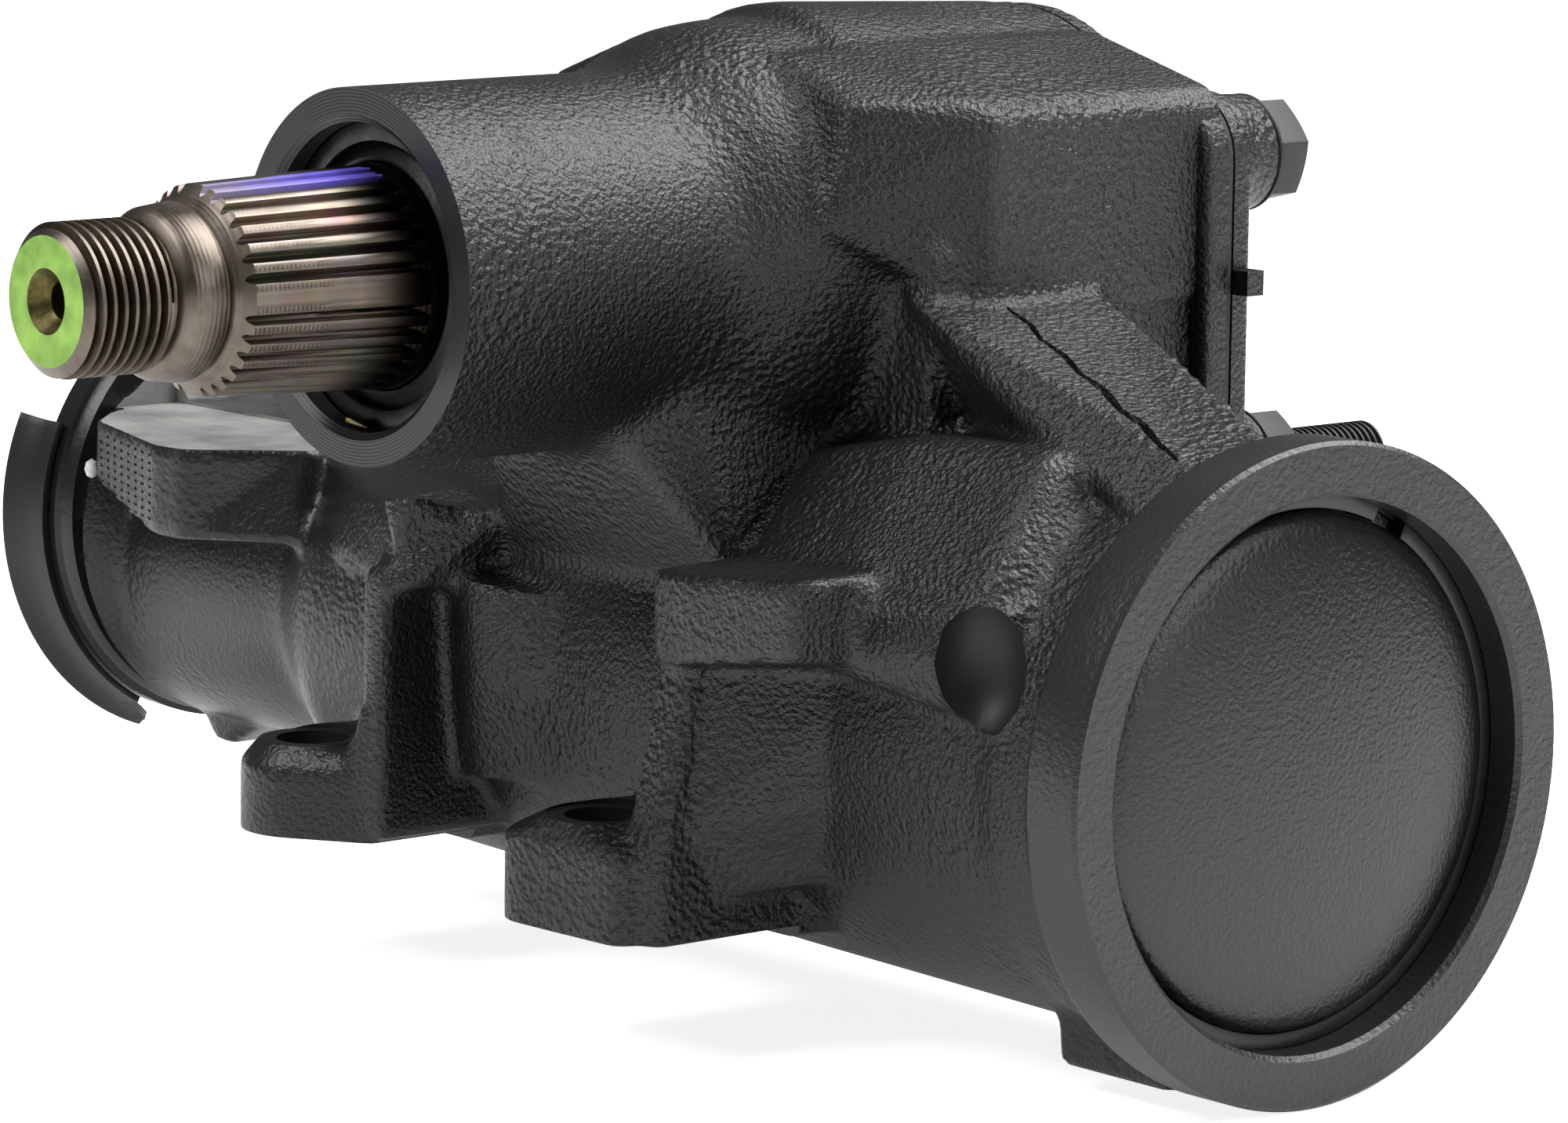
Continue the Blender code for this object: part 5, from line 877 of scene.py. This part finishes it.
# %% [markdown]
# ## End cover
# A pressed steel cap with a shallow dome closes the piston's bore. A black trough is left round it,
# where the retaining ring sits in its groove with a small gap near the top.

# %% End cover and its retaining ring
dome = [(105.2, 37.7), (107.7, 37.6), (108.4, 37.3), (109.1, 36.4), (109.8, 34.4), (110.5, 31.5), (111.2, 27.4),
        (112, 21), (112.6, 13.5), (112.9, 6), (113, 0)]
end_cap = lathe("end_cover_cap", [(108, 0), (107, 18), (103.6, 28), (99.6, 30.6), (99.6, 39.8), (101.2, 39.8),
                                  (101.2, 37.6), (103.8, 37.6), (103.8, 39.8), (105.2, 39.8), *dome], "X",
                steps=144)
dress(end_cap, pressed_finish, "housing_body", "end_cover", slot="painted_steel", angle=35)

snap = lathe("end_retaining_ring", [(105.5, 37.8), (105.5, 41.8), (107.6, 41.8), (107.6, 37.8)], "X",
             closed=True, steps=144)
gap_turn = math.radians(62)
gap_box = lump("ring_gap", [(x, r * math.cos(gap_turn) - s * math.sin(gap_turn),
                             r * math.sin(gap_turn) + s * math.cos(gap_turn))
                            for x in (104, 109) for r in (35, 45) for s in (-3, 3)])
shape(snap, "DIFFERENCE", gap_box)
round_edges(snap, 0.3, 40)
dress(snap, painted_steel, "housing_body", "end_cover_retaining_ring", slot="spring_steel")

# %% [markdown]
# ## Sector shaft
# The one bright piece of the picture: a thread, a neck, 32 tapered serrations and the ground journal
# in front; the toothed sector that meets the rack is inside. The serrations are drawn as an outline
# of flat crests and narrow roots, extruded, and then tapered by scaling the far end.

# %% Serrations of the sector shaft
SPLINES = 32


def spline_outline(radius, depth):
    """Crests and roots, with the root left uncut at four places round the shaft."""
    points = []
    for number in range(SPLINES):
        middle = 360 / SPLINES * (number + 0.5)
        for share, reach in ((-0.5, radius - depth), (-0.34, radius - depth * 0.75), (-0.24, radius - 0.12),
                             (-0.12, radius), (0.12, radius), (0.24, radius - 0.12),
                             (0.34, radius - depth * 0.75)):
            if (number % 8 == 0 and share < -0.2) or (number % 8 == 7 and share > 0.2):
                reach = radius - 0.1
            angle = math.radians(middle + share * 360 / SPLINES)
            points.append((reach * math.cos(angle), SHAFT_RISE + reach * math.sin(angle)))
    return points


serrations = trace("serrations", [(u, -117, v) for u, v in spline_outline(15.15, 1.4)], True)
bpy.ops.mesh.edge_face_add()
bpy.ops.mesh.extrude_region_move(TRANSFORM_OT_translate={"value": (0, 0.0325, 0)})
bpy.ops.transform.resize(value=(16.3 / 15.15, 1, 16.3 / 15.15), center_override=place((0, -84.5, SHAFT_RISE)))
finish_mesh(serrations)
coated(serrations, serrated_steel)
spline_envelope = lathe("spline_envelope", [(-116, 0), (-116, 13.2), (-114.6, 15.2), (-95, 15.95), (-88, 16.2),
                                            (-85.5, 16.25), (-85, 15.6), (-85, 0)], "Y", SHAFT, 128)
shape(serrations, "INTERSECT", coated(spline_envelope, shaft_steel), solver="EXACT")
print("serrations:", len(serrations.data.polygons), "faces")

# %% [markdown]
# The sector's teeth have involute flanks, so that they roll on the straight flanks of the rack. Only
# three teeth of a twelve-tooth gear are needed, because the shaft turns less than a quarter turn.

# %% Toothed sector


def involute(angle):
    return math.tan(angle) - angle


def half_tooth(radius):
    base = 37.8 * math.cos(math.radians(25))
    at_pitch = math.radians(7.5) - 0.28 / 37.8
    return at_pitch + involute(math.radians(25)) - involute(math.acos(min(1, base / max(radius, base))))


teeth = []
for tooth in (-1, 0, 1):
    middle = math.radians(-90 + 30 * tooth)
    radii = [32.9, 34.26, 35.4, 36.6, 37.8, 39.2, 40.6, 41.7, 42.1]
    teeth += [(r, middle - half_tooth(r)) for r in radii] + [(r, middle + half_tooth(r)) for r in reversed(radii)]
    if tooth < 1:
        teeth.append((32.6, middle + math.radians(15)))
outline = [(32.9, teeth[0][1] - 0.087)] + teeth + [(32.9, teeth[-1][1] + 0.087)]
outline += [(24, math.radians(a)) for a in range(-5, 186, 10)]
sector = plate("toothed_sector", [(r * math.cos(a), SHAFT_RISE + r * math.sin(a)) for r, a in outline], "Y",
               -11, 15)
coated(sector, ground_steel)
round_edges(sector, 0.4, 50)

# %% Shaft and thread
shaft = lathe("sector_shaft_bar", [
    (-139.9, 0), (-139.9, 9.3), (-139.6, 9.7), (-138.3, 11.1), (-125.6, 11.1), (-125.2, 9.9), (-124.5, 9.9),
    (-124.1, 10.9), (-123.5, 11.8), (-122.6, 12.4), (-118.4, 12.9), (-117.8, 12.7), (-117.5, 12.1),
    (-117.1, 12.1), (-116.7, 12.9), (-115.9, 13.4), (-89.5, 13.9), (-86.6, 15.2), (-84.6, 16.3), (-83.6, 16.5),
    (15.2, 16.5), (15.8, 15.6), (37, 15.6), (38, 14.6), (38, 0)], "Y", SHAFT, 128)
for finish in (shaft_steel, lime_paint, violet_paint):
    coated(shaft, finish)
# the coil leaves its darker finish in the grooves as painted shade
cut_thread(shaft, -140.2, -125.7, 11.1, 1.814, "Y", SHAFT, 64, thread_groove_shade)
print("threaded bar:", len(shaft.data.polygons), "faces")
shape(shaft, "UNION", serrations, sector, solver="EXACT")
centre_drill = lathe("centre_drill", [(-142, 0), (-142, 6), (-139.9, 4.7), (-137.2, 2.7), (-130.5, 2.6),
                                      (-129, 0)], "Y", SHAFT, 48)
slot_head, slot_neck = [plate("adjuster_slot", arc(*SHAFT, half, 90, 270, 16)
                              + [(20, SHAFT_RISE - half), (20, SHAFT_RISE + half)], "Y", low, high)
                        for half, low, high in ((9.3, 31.3, 36.5), (5.3, 36, 40))]
shape(shaft, "DIFFERENCE", coated(centre_drill, hole_grime), slot_head, slot_neck, solver="EXACT")

# %% [markdown]
# The factory's marks follow the faces: all that looks forward at the shaft's end is lime, and a
# strip along the top of the serrations is violet. A face is picked by where it lies. The violet strip
# lies 5 to 22 degrees to the right of the top.

# %% Paint the marks on the shaft
names = [slot.material.name for slot in shaft.material_slots]
lime, violet = names.index(lime_paint.name), names.index(violet_paint.name)
for face in shaft.data.polygons:
    spot = (face.center - place((0, 0, SHAFT_RISE))) * 1000
    reach = math.hypot(spot.x, spot.z)
    lean = math.degrees(math.atan2(spot.x, spot.z))
    if spot.y < -139.2 and face.normal.y < -0.9 and reach > 4.4:
        face.material_index = lime
    if -115 < spot.y < -91 and 5 < lean < 22 and reach > 14.2:
        face.material_index = violet
dress(shaft, shaft_steel, "sector_body", "sector_shaft", slot="bare_steel", angle=30)
print("sector shaft:", len(shaft.data.polygons), "faces")

# %% [markdown]
# Behind the mouth of the boss sit a retaining ring of dark spring steel, a rubber dust seal whose lip
# leans on the journal, and a steel washer. A smear of yellow grease has been pushed out at the bottom.

# %% Seals in the mouth of the boss
mouth_ring = lathe("mouth_retaining_ring", [(-82.3, 19.6), (-82.3, 23.4), (-80.8, 23.4), (-80.8, 19.6)], "Y",
                   SHAFT, closed=True, steps=128)
ring_gap = lump("mouth_gap", [(x, y, SHAFT_RISE + z) for x, z in ((-15, -8), (-30, -14), (-18, -4), (-30, -6))
                              for y in (-84, -79)])
shape(mouth_ring, "DIFFERENCE", ring_gap)
round_edges(mouth_ring, 0.3, 40)
dress(mouth_ring, spring_steel, "housing_body", "sector_retaining_ring", slot="spring_steel")
dust_seal = lathe("dust_seal_lip", [(-76.3, 17.2), (-76.3, 22.4), (-80.4, 22.4), (-80.4, 21.2), (-79.8, 20.4),
                                    (-80.6, 18.6), (-82.4, 17.3), (-82.2, 16.8), (-80.2, 16.8)], "Y",
                  SHAFT, closed=True, steps=128)
dress(dust_seal, rubber_finish, "housing_body", "sector_dust_seal", slot="rubber")
washer = lathe("seal_washer_disc", [(-76, 17.1), (-76, 22.3), (-74.6, 22.3), (-74.6, 17.1)], "Y", SHAFT,
               closed=True, steps=128)
dress(washer, bare_steel, "housing_body", "sector_seal_washer")
dot = lathe("marker_dot", [(17, 0), (17.4, 0.8), (18.5, 1.2), (19.7, 0.9), (20.3, 0)], "Z", (-138.5, -38.3), 24)
dress(dot, dot_finish, "housing_body", slot="nylon")
grease = lump("grease_smear", [(-5.2, -84.4, 44.6), (-4.4, -84.9, 45.6), (-2.6, -84.7, 45.2), (-0.6, -84.3, 44.4),
                               (0.6, -83.6, 44.0), (-2, -83, 43.7), (-4.8, -83.2, 44.1), (-3, -84.9, 44.6)])
apply_modifier(grease, "REMESH", mode="VOXEL", voxel_size=0.0002)
apply_modifier(grease, "SMOOTH", factor=0.5, iterations=6)
dress(grease, grease_finish, "housing_body", slot="rubber")

# %% [markdown]
# ## Input end
# A lock nut holds the bearing adjuster, and a nylon shield wraps a third of the way round it, with a
# bead along its free edge. The input stub has fine serrations and a groove for the pinch bolt.

# %% Shield
shield = lathe("input_shield", [(-153, 37.4), (-156.2, 37.4), (-158.6, 38.1), (-161, 39.4), (-161.4, 40.4),
                                (-161, 41.2), (-160.2, 40.4), (-158.2, 39.2), (-156.2, 38.5), (-153, 38.5)], "X",
               (0, RIM_RISE), closed=True, steps=48, start=251, sweep_angle=96)
lip_cut = lump("lip_cut", [(x, r * math.cos(b), RIM_RISE + r * math.sin(b)) for r in (36, 44)
                           for x, b in ((-152, math.radians(240)), (-156.5, math.radians(240.5)),
                                        (-160.4, math.radians(253)), (-152, math.radians(253)))])
shape(shield, "DIFFERENCE", lip_cut)
round_edges(shield, 0.25, 50)
dress(shield, nylon_finish, "housing_body", "coupling_shield", slot="nylon")

# %% Input stub with its serrations
stub = lathe("input_stub_bar", [(-189.2, 0), (-189.2, 8.4), (-188.1, 9.6), (-179.2, 9.7), (-177.8, 8.2),
                                (-174.2, 8.2), (-172.7, 9.7), (-67, 9.7), (-67, 0)], "X", steps=96)
coated(stub, bare_steel)
notches = []
for number in range(36):
    angle = math.radians(10 * number)
    tip, mouth, spread = 8.75, 10.6, 0.095
    notches.append(lump("notch", [(x, r * math.cos(angle + turn), r * math.sin(angle + turn))
                                  for x in (-190.2, -171.2) for r, turn in ((tip, 0), (mouth, -spread),
                                                                        (mouth, spread))]))
shape(stub, "DIFFERENCE", coated(gather("notches", *notches), bare_steel), solver="EXACT")
for side in (-1, 1):
    flat_tool = lump("tang_flat", [(x, y, z) for x in (-74.7, -60) for y in (-12, 12)
                                   for z in (side * 6, side * 12)])
    shape(stub, "DIFFERENCE", flat_tool, solver="EXACT")
shape(stub, "DIFFERENCE", lathe("stub_bore", [(-183.2, 0), (-183.2, 3.7), (-60, 3.7), (-60, 0)], "X", steps=32),
      lathe("pin_hole", [(-12, 0), (-12, 2), (12, 2), (12, 0)], "Y", (-167.2, 0), 24), solver="EXACT")
dress(stub, bare_steel, "stub_body", "stub_shaft", slot="bare_steel")
